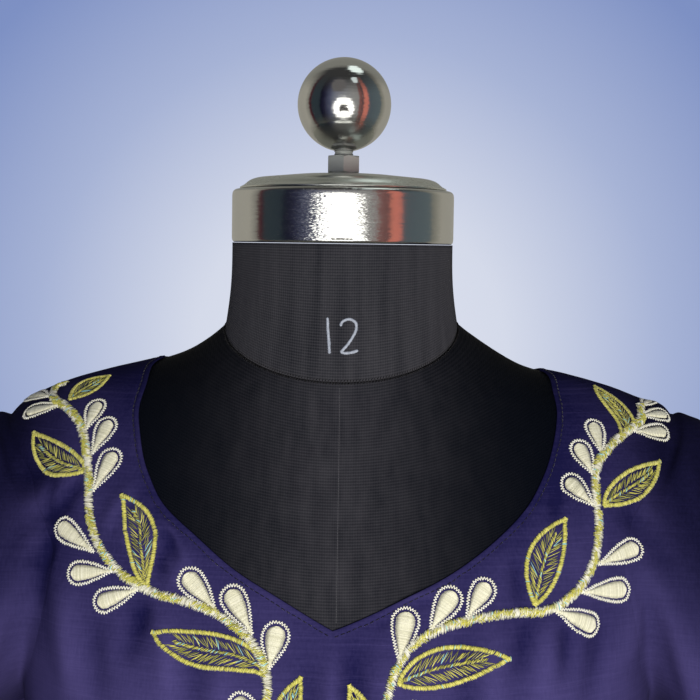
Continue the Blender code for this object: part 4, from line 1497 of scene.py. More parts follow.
@dataclass
class Sleeve:
    """One sleeve: a tube that leaves the armhole, turns down and hangs empty."""

    name: str
    node: str
    side: int
    surface: BodySurface
    creases: tuple
    shared: tuple[tuple, tuple]
    sides: int = 132
    fine: int = 8
    turn_reach: float = 26.0
    held_reach: float = 9.0
    normal_rings: float = 1.2
    shared_rings: float = 2.4

    def armhole_ring(self) -> tuple[Array, Array, Array]:
        """Lay out the ring round the armhole, one seam's gap inside the panels' edge.

        Returns:
            Its points, the cloth's normals there and the ways that lead off the panels.
        """
        share = 2.0 * np.arange(self.sides) / self.sides
        front = self.surface.walk(armhole_line(self.side, True), np.minimum(share, 1.0))
        back = self.surface.walk(armhole_line(self.side, False), np.clip(2.0 - share, 0.0, 1.0))
        turn, row = np.where((share <= 1.0)[:, None], front, back).T
        ring, normals = self.surface.points(turn, row), self.surface.normals(turn, row)
        along = np.roll(ring, -1, axis=0) - np.roll(ring, 1, axis=0)
        inward = unit(np.cross(along, normals))
        towards = ring.mean(axis=0) - ring
        inward *= np.where((inward * towards).sum(axis=1) > 0.0, 1.0, -1.0)[:, None]
        return ring + SEWN_GAP * inward, normals, inward

    def grid(self) -> tuple[Array, Array]:
        """Lay out the sleeve.

        Returns:
            Its points, ring by ring from the armhole to the cuff, and the cloth's normals at the armhole.
        """
        rings = np.arange((len(SLEEVE_RINGS) - 1) * self.fine + 1) / self.fine
        table = SmoothTable(np.arange(len(SLEEVE_RINGS)), SLEEVE_RINGS).at(rings)[:, None, :]
        turn = 360.0 * np.arange(self.sides) / self.sides
        down, across = np.cos(np.radians(turn))[None, :, None], np.sin(np.radians(turn))[None, :, None]
        middle = np.zeros_like(table[..., :1])
        top = np.concatenate((table[..., :1], middle, table[..., 1:2]), axis=-1)
        under = np.concatenate((table[..., 2:3], middle, table[..., 3:4]), axis=-1)
        fold = np.where(across > 0.0, table[..., 4:7], table[..., 7:10])
        shape, reach = table[..., 10:11], table[..., 11:12]
        mirror = np.array((self.side, 1.0, 1.0))
        centre = 0.5 * (top + under)
        own = (centre + (top - centre) * down + (fold - centre) * np.abs(across)) * mirror
        first, first_normals, leave = self.armhole_ring()
        turned = smooth_step(reach / (self.turn_reach * (1.0 - 0.75 * np.maximum(down, 0.0) ** 2)))
        way = unit(leave * (1.0 - turned) + np.array((self.side, 0.0, 0.0)) * turned)
        carried = first + reach * way
        point = carried + (own - carried) * shape
        out = (point - centre * mirror) * np.array((1.0, 1.0, 0.0))
        out = out / np.maximum(np.linalg.norm(out, axis=-1, keepdims=True), 1.0)
        height = fold_height(SLEEVE_FOLDS, np.broadcast_to(turn, point.shape[:2]), point[..., 2])
        return point + (height * smooth_step(rings)[:, None])[..., None] * out, first_normals

    def relief(self, grid: Array, rows: Array) -> Array:
        """Find how far creases and unevenness move the cloth.

        Args:
            grid: The smooth sleeve's points.
            rows: How many rings each row is from the armhole.

        Returns:
            The heights, which next to the armhole are the panels' own.
        """
        height = np.zeros(grid.shape[:2])
        for turns, rings, width, depth in self.creases:
            turn = np.linspace(*turns, 9) / 360.0 * self.sides
            ring = np.linspace(*rings, 9) * self.fine
            line = grid[ring.round().astype(int), turn.round().astype(int) % self.sides]
            height += crease_height(grid, line, width, depth)
        height += ripple(grid * np.array((1.0, 1.0, 0.5)), 30.0) * 0.9 + ripple(grid, 9.0) * 0.12
        front, back = (cloth_relief(grid, creases) for creases in self.shared)
        over = np.where(np.arange(self.sides) < self.sides / 2, front, back)
        ends = [np.linalg.norm(grid[0] - grid[0, i], axis=-1) for i in (0, self.sides // 2)]
        over = np.maximum(over * smooth_step(np.min(ends, axis=0) / self.held_reach), DEEPEST - UNEVEN_DEPTH)
        share = smooth_step(rows / self.shared_rings)
        return height * share + over * (1.0 - share)

    def build(self, material: Material) -> Object:
        """Make the sleeve.

        Args:
            material: The cloth's finish.

        Returns:
            The piece.
        """
        grid, first_normals = self.grid()
        along = np.roll(grid, -1, axis=1) - np.roll(grid, 1, axis=1)
        normal = unit(np.cross(along, np.gradient(grid, axis=0))) * self.side
        rows = np.arange(grid.shape[0])[:, None] / self.fine
        near = 1.0 - smooth_step(rows / self.normal_rings)[..., None]
        normal = unit(first_normals * near + normal * (1.0 - near))
        height = self.relief(grid, rows)
        grid = grid + normal * height[..., None]
        quads = tube_faces(np.arange(height.size).reshape(height.shape))
        if self.side < 0:
            quads = quads[:, ::-1]
        rolls = np.full(height.shape, EDGE_ROLL)
        rolls[0] = SEAM_ROLL
        self.cuff_edge = grid[-1]
        self.sheet = (grid.reshape(-1, 3), quads)
        # Its relief heights also feed the finish's painted crease shade and ridge highlights.
        wall = Wall(self.sheet[0], normal.reshape(-1, 3), quads, rolls.ravel(), height.ravel())
        return wall.build(self.name, self.node, material)


class Ground:
    """A surface that stitches are seated on."""

    def __init__(self, *sheets: tuple[Array, Array]) -> None:
        """Make one search tree of all the sheets.

        Args:
            sheets: Points and faces of each.
        """
        starts = np.cumsum([0] + [len(points) for points, _ in sheets])
        points = np.vstack([points for points, _ in sheets])
        quads = np.vstack([quads + start for (_, quads), start in zip(sheets, starts)])
        self.tree = BVHTree.FromPolygons(points.tolist(), quads.tolist())

    def seat(self, points: Array) -> tuple[Array, Array]:
        """Move points to the surface.

        Args:
            points: Points near the surface, along a last axis of three.

        Returns:
            The places on the surface and the normals there.
        """
        found = [self.tree.find_nearest(Vector(point)) for point in points.reshape(-1, 3).tolist()]
        places, normals = (np.array([tuple(hit[i]) for hit in found]) for i in (0, 1))
        return places.reshape(points.shape), normals.reshape(points.shape)

    def follow(self, line: Array) -> tuple[Array, Array, Array, Array]:
        """Move a line of points to the surface.

        Args:
            line: The points.

        Returns:
            The places, and the directions out of the surface, along the line and across it.
        """
        places, normals = self.seat(line)
        along = unit(np.gradient(places, axis=0))
        return places, normals, along, unit(np.cross(normals, along))


@dataclass
class StitchBatch:
    """Stitches of one thread, each a thin tube on the cloth, that become one piece."""

    ground: Ground
    thread: Thread
    name: str
    radius: float = 0.23
    slot: str = "cloth"
    ribs: int = 4
    knots: int = 5
    end_share: float = 0.55
    stitches: list[tuple[Array, ...]] = field(default_factory=list)

    def lay(
        self, starts: Array, ends: Array, arch: float, tones: Array, lift: float = 0.12, size: float = 1.0
    ) -> None:
        """Lay stitches across from starts to ends.

        Args:
            starts: Where each stitch starts.
            ends: Where it ends.
            arch: How far its middle stands off the cloth.
            tones: Each stitch's tone.
            lift: How far its ends stand off the cloth.
            size: Share of the thread's radius.
        """
        t = np.linspace(0.0, 1.0, self.knots)[None, :, None]
        line = starts[:, None] + (ends - starts)[:, None] * t
        places, normals = self.ground.seat(line)
        rise = lift + arch * np.sin(np.pi * t) ** 0.6
        taper = np.ones(self.knots)
        taper[[0, -1]] = self.end_share
        sizes = np.broadcast_to(self.radius * size * taper, line.shape[:2])
        self.stitches.append((places + normals * rise, normals, np.clip(tones, 0.0, 1.0), sizes))

    def build(self) -> Object:
        """Make one piece of all the stitches.

        Returns:
            The piece.
        """
        centres, ups, tones, sizes = (np.concatenate(parts) for parts in zip(*self.stitches))
        along = unit(np.gradient(centres, axis=1))
        side = unit(np.cross(along, ups))
        up = np.cross(side, along)
        angle = math.tau * (np.arange(self.ribs) + 0.5) / self.ribs
        ring = side[:, :, None] * np.cos(angle)[:, None] + up[:, :, None] * np.sin(angle)[:, None]
        points = centres[:, :, None] + ring * sizes[:, :, None, None]
        number = np.arange(points[..., 0].size).reshape(points.shape[:3])
        caps = np.concatenate((number[:, 0, ::-1], number[:, -1]))
        faces = np.vstack((tube_faces(number)[:, ::-1], caps[:, ::-1]))
        piece = make_piece(self.name, points.reshape(-1, 3), faces, self.thread.material(), self.slot)
        set_values(piece, "tone", np.repeat(tones, self.knots * self.ribs))
        return piece


@dataclass(frozen=True)
class Leaf:
    """A leaf from its root to its tip, as (x, z) places, with each side's reach and where it is fullest."""

    root: tuple[float, float]
    tip: tuple[float, float]
    left: float
    left_at: float
    right: float
    right_at: float


@dataclass(frozen=True)
class Petal:
    """A drop-shaped petal from its root on the stem to its tip, as (x, z) places, with its width."""

    root: tuple[float, float]
    tip: tuple[float, float]
    width: float

    def half_width(self, share: Array, length: float, radius: float) -> Array:
        """Half width of a drop with a round end.

        Args:
            share: Shares of the drop's length.
            length: The drop's length.
            radius: Radius of its round end.

        Returns:
            The half width at each share.
        """
        centre = 1.0 - radius / length
        rise = np.sin(0.5 * np.pi * np.clip(share / centre, 0.0, 1.0)) ** 1.25
        past = np.clip((share - centre) * length / radius, 0.0, 1.0)
        return radius * np.where(share < centre, rise, np.sqrt(1.0 - past**2))


@dataclass(frozen=True)
class Satin:
    """How satin stitches are sewn. Flecks is the share of bright ones; higher gaps leave out more."""

    width: float
    tones: tuple[float, float]
    pitch: float = 0.40
    slant: float = 0.4
    arch: float = 0.5
    ragged: float = 0.2
    wander: float = 0.0
    gaps: float = -2.0
    flecks: float = 0.0


@dataclass(frozen=True)
class Axes:
    """A motif's root on the cloth, the ways along it and to its left, and its length."""

    root: Array
    along: Array
    across: Array
    length: float

    def at(self, run: Array, aside: Array) -> Array:
        """Points at runs along the motif and distances to its left."""
        return self.root + self.along * run[:, None] + self.across * aside[:, None]


@dataclass
class Embroidery:
    """The vine round the neckline: two stems with leaves and petals, sewn on the front."""

    cloth: BodySurface
    stem_points: int = 160
    leaf_points: int = 60
    petal_points: int = 72
    stem_width: float = 4.3
    leaf_band: float = 2.2
    rib_points: int = 48
    vein_pitch: float = 1.9
    vein_rise: float = 4.6
    petal_line: float = 1.7
    drop_pitch: float = 0.34
    # Stems as x and z, from the shoulder to the point.
    left_stem: tuple = (
        (-141, 1406), (-147.5, 1403.5), (-146, 1399.5), (-138, 1396.5), (-130, 1390.5), (-124.5, 1381),
        (-121.5, 1367), (-119.5, 1351), (-114.5, 1337), (-103, 1325), (-87, 1317), (-70, 1313.5),
        (-52, 1307), (-38.5, 1297), (-31.5, 1283.5), (-30, 1267), (-24, 1248), (-13, 1231),
        (-1.5, 1217),
    )
    right_stem: tuple = (
        (154.5, 1399.5), (152.5, 1393.5), (144, 1389), (133, 1382), (126, 1373), (124.5, 1361),
        (125.5, 1346), (122, 1331), (113, 1318), (100, 1311), (82, 1310), (65, 1308), (49, 1304),
        (36, 1297.5), (28, 1287), (23.5, 1274), (20.5, 1257), (12, 1238), (1.5, 1219),
    )
    leaves: tuple = (
        Leaf((-137, 1399.5), (-118.5, 1411.5), 9, 0.5, 7, 0.5),
        Leaf((-122.5, 1368.5), (-153, 1384), 13.2, 0.5, 4.5, 0.35),
        Leaf((-88, 1319), (-103.5, 1358.5), 5.3, 0.3, 11.6, 0.6),
        Leaf((-33, 1284), (-85, 1299.5), 8.2, 0.62, 11.2, 0.33),
        Leaf((-27, 1256), (-15.5, 1283.5), 6.5, 0.5, 5.5, 0.5),
        Leaf((141, 1388), (131.3, 1409), 3.9, 0.7, 11, 0.3),
        Leaf((128.5, 1355.5), (160.5, 1374), 7.5, 0.38, 8.5, 0.52),
        Leaf((92.5, 1313), (109, 1351), 12, 0.5, 6.4, 0.42),
        Leaf((28.5, 1280.5), (80.5, 1290.5), 12.5, 0.42, 6.3, 0.42),
        Leaf((19.5, 1254), (7, 1280.5), 5.5, 0.5, 6, 0.5),
        Leaf((-24, 1247), (-60, 1238), 7, 0.55, 8, 0.4),
        Leaf((15, 1243), (52, 1234), 8, 0.4, 7, 0.55),
        Leaf((0, 1217), (0, 1178), 7.5, 0.45, 7.5, 0.5),
    )
    petals: tuple = (
        Petal((-148, 1400), (-163.5, 1397.5), 11), Petal((-140, 1397), (-161.5, 1391.5), 11),
        Petal((-125.3, 1386.5), (-120.3, 1401), 11), Petal((-120.5, 1376), (-113, 1393.5), 11.5),
        Petal((-118.5, 1359.5), (-108.5, 1379.5), 12),
        Petal((-115.5, 1332.5), (-136.5, 1344.5), 12), Petal((-105, 1325), (-128.5, 1321.5), 12),
        Petal((-92.5, 1318), (-114.5, 1309), 12), Petal((-55.5, 1310), (-72.5, 1327), 13),
        Petal((-38.5, 1300.5), (-51.2, 1321), 13), Petal((-30.5, 1286), (-26.5, 1306.5), 13.5),
        Petal((155, 1399), (163.5, 1400), 8.5), Petal((153, 1395.5), (169.5, 1394), 10),
        Petal((147, 1388.5), (167.5, 1386.8), 11), Petal((129, 1379), (125.8, 1395), 11),
        Petal((124, 1369.5), (116.3, 1386), 11.5), Petal((123.5, 1356), (108.8, 1370), 12),
        Petal((124, 1329.5), (147, 1335.5), 12), Petal((115, 1317.5), (140.5, 1316.5), 12.5),
        Petal((101, 1311), (125, 1300), 12.5), Petal((60.3, 1308), (71.7, 1325), 12.5),
        Petal((43, 1302.5), (56, 1321.5), 13), Petal((29, 1289.5), (33, 1313.5), 13.5),
        Petal((-29.5, 1264), (-48, 1274), 12), Petal((22, 1262), (41, 1271), 12),
        Petal((-12, 1229), (-31, 1216), 12), Petal((9, 1231), (28, 1216), 12),
    )

    def stem_line(self, places: tuple) -> Array:
        """Points of a stem on the cloth."""
        return self.cloth.at_view(*curve_through(places, self.stem_points).T)

    def satin(self, batch: StitchBatch, path: Array, way: Satin) -> None:
        """Sew a band of satin stitches.

        Args:
            batch: The thread's stitches.
            path: The band's middle line.
            way: How it is sewn.
        """
        places, _, along, across = self.ground.follow(resample(path, way.pitch))
        count = len(places)
        halves = 0.5 * way.width * (1.0 + way.ragged * self.chance.uniform(-1.0, 1.0, (2, count, 1)))
        lean = way.slant + 0.15 * self.chance.uniform(-1.0, 1.0, (count, 1))
        run, turns = np.arange(count) * way.pitch, self.chance.uniform(0.0, math.tau, 3)
        middle = places + across * np.sin(run * 0.19 + turns[0])[:, None] * way.wander
        tone = self.chance.uniform(*way.tones, count)
        tone[self.chance.uniform(0.0, 1.0, count) < way.flecks] = 1.0
        starts = middle + across * halves[0] + along * lean
        ends = middle - across * halves[1] - along * lean
        kept = np.sin(run * 0.33 + turns[1]) + 0.8 * np.sin(run * 0.9 + turns[2]) > way.gaps
        batch.lay(starts[kept], ends[kept], way.arch, tone[kept])

    def zigzag(self, batch: StitchBatch, path: Array, width: float, pitch: float, tones: tuple) -> None:
        """Sew a line of zigzag stitches.

        Args:
            batch: The thread's stitches.
            path: The line's middle.
            width: Its width.
            pitch: How far each stitch goes along it.
            tones: The lowest and highest tone.
        """
        places, _, _, across = self.ground.follow(resample(path, pitch))
        count = len(places)
        reach = 0.5 * width * (1.0 + 0.22 * self.chance.uniform(-1.0, 1.0, count))
        reach[1::2] *= -1.0
        points = places + across * reach[:, None]
        batch.lay(points[:-1], points[1:], 0.26, self.chance.uniform(*tones, count - 1), size=1.12)

    def sew_stem(self, places: tuple) -> None:
        """Sew a stem: ivory satin with olive and turquoise thread that wanders from side to side.

        Args:
            places: The places that it runs through.
        """
        line = self.stem_line(places)
        ivory = Satin(self.stem_width, (0.0, 0.40), 0.46, arch=0.9, ragged=0.26, flecks=0.015)
        self.satin(self.twist, line, ivory)
        for wander, slant, arch in ((1.2, 0.65, 1.2), (-1.25, -0.5, 1.15), (0.5, 0.7, 1.3)):
            way = Satin(0.6 * self.stem_width, (0.5, 0.94), 0.74, slant, arch, 0.5, wander, -0.1, 0.05)
            self.satin(self.twist, line, way)

    def axes_of(self, motif: Leaf | Petal) -> Axes:
        """A motif's own axes on the cloth.

        Args:
            motif: The motif.

        Returns:
            Its axes, from its root to its tip.
        """
        places, normals = self.ground.seat(self.cloth.at_view(*np.array((motif.root, motif.tip)).T))
        length = float(np.linalg.norm(places[1] - places[0]))
        along = (places[1] - places[0]) / length
        return Axes(places[0], along, unit(np.cross(normals.mean(axis=0), along)), length)

    def sew_leaf(self, leaf: Leaf) -> None:
        """Sew a leaf: satin outline, midrib and loose zigzag veins over open ground.

        Args:
            leaf: The leaf.
        """
        axes = self.axes_of(leaf)
        share = np.linspace(0.0, 1.0, self.leaf_points)
        run = axes.length * share
        sides = {}
        for way, reach, at in ((1.0, leaf.left, leaf.left_at), (-1.0, leaf.right, leaf.right_at)):
            bulge = np.sin(np.pi * share ** (math.log(0.5) / math.log(at))) ** 0.78
            sides[way] = way * np.maximum(reach * bulge - 0.5 * self.leaf_band, 0.0)
            edge = Satin(self.leaf_band, (0.3, 0.9), slant=0.3 * way, flecks=0.015)
            self.satin(self.olive, axes.at(run, sides[way]), edge)
        spine = 0.5 * (sides[1.0] + sides[-1.0])
        rib = axes.at(run[: self.rib_points], spine[: self.rib_points])
        self.satin(self.olive, rib, Satin(1.5, (0.1, 0.7), 0.62, 0.8, 0.3, 0.5, flecks=0.10))
        count = max(int(axes.length / self.vein_pitch), 6)
        base = np.linspace(0.10, 0.76, count)
        for way in (-1.0, 1.0):
            room = way * (sides[way] - spine) - 1.6
            points = []
            for near, forward in ((0.15, 0.0), (0.85, self.vein_rise / axes.length)):
                at = base + forward + self.chance.uniform(-0.012, 0.012, count)
                spread = near + self.chance.uniform(-0.12, 0.12, count)
                off = 0.6 + np.maximum(np.interp(at, share, room), 0.0) * spread
                points.append(axes.at(axes.length * at, np.interp(at, share, spine) + way * off))
            wide = np.interp(base + 0.05, share, room) > 0.9
            fleck = self.chance.uniform(0.0, 1.0, count) > 0.93
            tones = np.where(fleck, 1.0, self.chance.uniform(0.0, 0.75, count))
            self.olive.lay(points[0][wide], points[1][wide], 0.2, tones[wide], 0.14, 0.8)
            back = wide[1:] & wide[:-1] & (self.chance.uniform(0.0, 1.0, count - 1) > 0.45)
            self.olive.lay(points[1][:-1][back], points[0][1:][back], 0.2, tones[1:][back], 0.1, 0.6)

    def sew_petal(self, petal: Petal) -> None:
        """Sew a petal: a filled drop, a narrow gap and a zigzag line round it.

        Args:
            petal: The petal.
        """
        axes = self.axes_of(petal)
        length = axes.length - 0.5
        share = 0.5 - 0.5 * np.cos(np.linspace(0.0, np.pi, self.petal_points))
        half = petal.half_width(share, length, 0.5 * petal.width - 0.6)
        run = np.concatenate((share, share[-2::-1])) * length
        outline = axes.at(run, np.concatenate((half, -half[-2::-1])))
        self.zigzag(self.ivory, outline, self.petal_line, 0.68, (0.55, 1.0))
        start, end = 0.07 * axes.length, axes.length - 2.5
        count = int((end - start) / self.drop_pitch)
        inner = (np.arange(count) + 0.5) / count
        wide = np.maximum(petal.half_width(inner, end - start, 0.5 * petal.width - 2.5), 0.6) + 0.25
        reach = wide * (1.0 + 0.05 * self.chance.uniform(-1.0, 1.0, (2, count)))
        starts, ends = (axes.at(start + (end - start) * inner, aside) for aside in (reach[0], -reach[1]))
        self.ivory.lay(starts, ends, 0.5, self.chance.uniform(0.12, 0.62, count))

    def sew(self, ground: Ground) -> list[Object]:
        """Sew the whole vine.

        Args:
            ground: The cloth that it is sewn on.

        Returns:
            The pieces, one for each thread.
        """
        self.ground = ground
        self.chance = np.random.default_rng(SEED)
        self.twist, self.olive, self.ivory = (
            StitchBatch(ground, Thread(thread, tones.value), name, radius)
            for thread, tones, name, radius in (
                ("twisted_thread", Colours.TWIST, "embroidery_stems", 0.24),
                ("olive_thread", Colours.OLIVE, "embroidery_leaves", 0.23),
                ("ivory_thread", Colours.IVORY, "embroidery_petals", 0.22),
            )
        )
        for leaf in self.leaves:
            self.sew_leaf(leaf)
        for petal in self.petals:
            self.sew_petal(petal)
        for places in (self.left_stem, self.right_stem):
            self.sew_stem(places)
        return [batch.build() for batch in (self.twist, self.olive, self.ivory)]


@dataclass
class Topstitching:
    """Rows of machine stitches a little way in from the garment's edges."""

    stitch: float = 2.1
    pitch: float = 2.9
    radius: float = 0.29
    neck_inset: float = 2.8
    hem_inset: float = 18.0
    slit_inset: float = 10.0
    cuff_inset: float = 16.0

    def __post_init__(self) -> None:
        """Start the stitches' own chance."""
        self.chance = np.random.default_rng(SEED + 1)
        self.thread = Thread("navy_thread", Colours.NAVY.value, 0.5, 0.2)

    def row(self, batch: StitchBatch, edge: Array, inset: float, towards: float) -> None:
        """Sew one row.

        Args:
            batch: The stitches of the piece that it is sewn on.
            edge: The edge that it follows.
            inset: How far in from the edge it runs.
            towards: 1 or -1, the side of the edge that the cloth lies on.
        """
        line = resample(edge, 1.5)
        places, _, _, across = batch.ground.follow(line)
        inner = places + across * inset * towards
        inner = inner[distance_to_line(inner, line)[0] > 0.93 * inset]
        if len(inner) < 3:
            return
        spots = resample(inner, self.pitch)
        steps = np.diff(spots, axis=0) * (self.stitch / self.pitch)
        batch.lay(spots[:-1], spots[:-1] + steps, 0.05, self.chance.uniform(0.1, 0.9, len(steps)), 0.06)


@dataclass
class Kurti:
    """The garment: front, back and two sleeves, with its embroidery and topstitching."""

    # Flat width, length and area in metres.
    front_cut: Triple = (0.560, 1.120, 0.470)
    back_cut: Triple = (0.560, 1.080, 0.480)
    sleeve_cut: Triple = (0.460, 0.480, 0.150)
    neck_points: int = 60
    # Rows of x and z of the places that a crease runs through, its width and its depth.
    front_creases: tuple = (
        (-1, 1296, -1.5, 1262, 0, 1225, 4.5, 2), (7, 1299, 9, 1268, 9, 1232, 6, -2.2),
        (21, 1300, 25, 1262, 27, 1215, 8, 1.8), (-14, 1296, -13, 1262, -16, 1230, 6, -1.6),
        (47, 1316, 31, 1312.5, 18, 1303, 2.2, -1.5), (50, 1320, 35, 1317, 22, 1309, 2.4, 1.2),
        (-97, 1365, -107, 1352, -112, 1342, 4, 1.8),
        (-84.5, 1349.5, -77.5, 1343.5, -71.5, 1332.5, 1.9, 1.1),
        (-87, 1346.5, -81, 1340.5, -75.5, 1330.5, 2, -1.2),
        (-138.5, 1366, -141, 1353, -142.5, 1342, 2.6, -1.5),
        (-84.5, 1334.5, -83, 1328, -82, 1321, 2.4, -1.2),
        (-88, 1312, -90.5, 1306, -92.5, 1299, 3.2, -1.5),
        (-91, 1356, -99, 1344, -104, 1336, 3.2, 1.6), (-84, 1349, -90, 1338, -94, 1330, 3.2, 2),
        (-77, 1343, -82, 1333, -84, 1325, 2.6, -1.4), (-69, 1338, -73, 1328, -78, 1320, 3.4, 1.5),
        (-142.5, 1343, -135.5, 1350, -124, 1366, 3.6, -2.4),
        (-174, 1338, -151, 1350, -136, 1360, 6, 2.4),
        (-174, 1358, -152.5, 1366, -133, 1376, 7, -2.2),
        (-170, 1311, -151, 1322, -137, 1336, 4.6, -2.3),
        (-172, 1321, -154, 1331, -142, 1339, 4.6, 1.8),
        (-137, 1343, -142.5, 1323, -144.5, 1300, 4.2, -2.2),
        (-166, 1288, -154, 1299, -146, 1312, 6.5, 2.2),
        (-129, 1322, -130, 1296, -124, 1262, 7.5, 2.2),
        (-94, 1317, -94, 1298, -100, 1282, 5.5, -2.2),
        (-112, 1306, -113, 1284, -108, 1256, 6.5, -1.6),
        (-80, 1309, -78.5, 1292, -76, 1268, 5.5, 2), (-63, 1303, -64, 1284, -67, 1256, 5, -1.6),
        (-48, 1296, -52, 1274, -55, 1240, 6, 1.6),
        (136, 1357, 146, 1347, 155, 1332, 160, 1318, 6, -2.4),
        (147, 1358, 160, 1340, 170, 1316, 5, 2.2), (160, 1362, 170, 1343, 170, 1312, 4.6, -1.8),
        (141, 1318, 144, 1297, 140, 1276, 7, 2.2), (156, 1306, 162, 1290, 160, 1266, 5.5, -2),
        (104.5, 1374, 105, 1362, 104, 1348, 3.4, -1.7), (84, 1335, 85, 1324, 86.5, 1311, 3.6, -1.7),
        (90, 1310, 88.5, 1298, 85, 1282, 4.6, -2), (100, 1308, 99, 1292, 96, 1266, 5.5, 1.8),
        (107.5, 1306, 108.5, 1295, 107, 1280, 3.6, -1.7),
        (124, 1312, 124.5, 1290, 119, 1258, 6.5, -2), (74, 1306, 73, 1284, 76, 1250, 6, 1.7),
        (60, 1304, 60, 1280, 63, 1246, 5, -1.7), (-148, 1250, -120, 1228, -88, 1216, 9, 2.6),
        (-150, 1228, -128, 1206, -100, 1192, 9, -2), (148, 1248, 122, 1230, 90, 1220, 9, 2.4),
        (150, 1224, 130, 1204, 104, 1188, 10, -2), (-96, 1140, -88, 1080, -92, 1000, 14, 3.4),
        (-46, 1130, -42, 1060, -40, 960, 13, -2.6), (88, 1136, 82, 1070, 88, 980, 14, 3.2),
        (40, 1120, 42, 1050, 36, 950, 12, -2.4), (-148, 1100, -120, 1076, -84, 1066, 8, 2.6),
        (148, 1070, 124, 1048, 90, 1040, 8, 2.4), (-10, 1010, -6, 900, -10, 760, 16, 3),
        (-130, 960, -126, 860, -134, 700, 14, -3), (126, 980, 132, 850, 128, 720, 15, -3),
        (60, 880, 56, 760, 62, 600, 13, -3),
    )
    back_creases: tuple = (
        (-70, 1384, -66, 1350, -60, 1310, 10, 1.4), (58, 1380, 64, 1340, 60, 1296, 11, 1.5),
        (-6, 1380, 0, 1330, -4, 1270, 9, -1.3), (-128, 1330, -112, 1290, -88, 1262, 9, 2.4),
        (-132, 1300, -120, 1262, -98, 1230, 9, -1.8), (130, 1324, 112, 1284, 92, 1250, 9, 2.2),
        (134, 1290, 122, 1252, 104, 1226, 10, -1.8), (-140, 1096, -90, 1064, -30, 1056, 9, 3.6),
        (146, 1078, 100, 1052, 44, 1046, 9, 3.4), (-130, 1060, -86, 1034, -40, 1028, 9, -2.6),
        (128, 1040, 90, 1018, 50, 1012, 9, -2.4), (-96, 1120, -90, 1010, -96, 880, 14, 3.4),
        (92, 1110, 88, 1000, 96, 860, 14, 3.2), (-36, 960, -40, 800, -34, 600, 15, -3.2),
        (44, 940, 40, 790, 46, 620, 14, 3.2), (-120, 820, -126, 700, -130, 560, 14, -3),
    )
    # The first and last turn and ring of each crease, its width and its depth.
    sleeve_creases: tuple = (
        ((20, 64), (0.6, 3.2), 6, 2.2), ((50, 96), (0.7, 2.6), 6, -1.2),
        ((78, 120), (1, 3.4), 7, 2.4), ((-24, -70), (0.7, 3.4), 7, 2.4),
        ((-60, -110), (0.9, 2.8), 6, -2), ((12, -16), (0.6, 2.4), 6, -1.4),
        ((128, 70), (5.2, 6.6), 7, 2.6), ((140, 84), (6.8, 8), 6, -2),
        ((-132, -70), (6, 7.2), 7, 2.6), ((60, 40), (7, 11), 9, 2.2),
        ((-48, -70), (7.4, 11.6), 9, -2.2), ((8, 2), (5, 9), 9, 1.6),
    )

    def __post_init__(self) -> None:
        """Lay out the cloth's smooth surface."""
        lines = grow_lines(FORM_LINES, EASES) + level(SKIRT_LINES)
        self.surface = BodySurface(lines, SKIRT_FOLDS)

    def build(self) -> None:
        """Cut and sew the garment."""
        cloth = SilkCloth().material()
        vine = Embroidery(self.surface)
        stems = [vine.stem_line(places)[::4] for places in (vine.left_stem, vine.right_stem)]
        self.front = Panel("front_panel", "front", self.surface, self.front_creases, stems)
        self.back = Panel("back_panel", "back", self.surface, self.back_creases)
        shared = (self.front_creases, self.back_creases)
        self.sleeves = [
            Sleeve(f"{name}_sleeve", f"sleeve_{name}", side, self.surface, self.sleeve_creases, shared)
            for name, side in (("left", -1), ("right", 1))
        ]
        pieces = [part.build(cloth) for part in (self.front, self.back, *self.sleeves)]
        threads = vine.sew(Ground(self.front.sheet, *(sleeve.sheet for sleeve in self.sleeves)))
        self.declare(pieces, threads + self.topstitch())

    def neckline(self) -> tuple[Array, Array]:
        """Describe the whole neckline.

        Returns:
            Its turns and rows, by turn, and its points on the sewn cloth.
        """
        share = np.linspace(0.0, 1.0, self.neck_points)
        halves = [panel.necklines[side] for panel in (self.front, self.back) for side in (-1, 1)]
        places = np.vstack([self.surface.walk(half, share) for half in halves])
        edge = np.vstack((self.front.neck_edge[::3], self.back.neck_edge[::-3]))
        return places[np.argsort(places[:, 0])], edge

    def topstitch(self) -> list[Object]:
        """Sew the rows along the neckline, hem, slits and cuffs.

        Returns:
            The pieces, one for each piece of cloth.
        """
        work = Topstitching()
        made = []
        for part in (self.front, self.back, *self.sleeves):
            batch = StitchBatch(Ground(part.sheet), work.thread, f"topstitch_{part.name}", work.radius)
            if isinstance(part, Sleeve):
                rows = [(np.vstack((part.cuff_edge, part.cuff_edge[:1])), work.cuff_inset, float(part.side))]
            else:
                side = 1.0 if part.on_front else -1.0
                middle = len(part.neck_edge) // 2
                halves = (part.neck_edge[: middle + 1], part.neck_edge[middle:])
                rows = [(half, work.neck_inset, -side) for half in halves]
                rows.append((part.hem_edge, work.hem_inset, side))
                rows += [(edge, work.slit_inset, way) for edge, way in zip(part.slit_edges, (side, -side))]
            for edge, inset, towards in rows:
                work.row(batch, edge, inset, towards)
            made.append(batch.build())
        return made

    def declare(self, pieces: list[Object], threads: list[Object]) -> None:
        """State each piece of cloth's cut size.

        Args:
            pieces: Front, back, left sleeve and right sleeve.
            threads: Embroidery, then topstitching in the same order.
        """
        stems, leaves, petals, on_front, *rows = threads
        on_form = {"held": "draped", "rests_on": ["form_torso"]}
        on_cloth = {"held": "hung", "rests_on": ["front", "back"]}
        sewn = [[stems, leaves, petals, on_front]] + [[row] for row in rows]
        cuts = (self.front_cut, self.back_cut, self.sleeve_cut, self.sleeve_cut)
        for piece, cut, with_pieces, held in zip(pieces, cuts, sewn, (on_form, on_form, on_cloth, on_cloth)):
            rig.sheet(piece, flat=cut[:2], area=cut[2], with_pieces=with_pieces, **held)


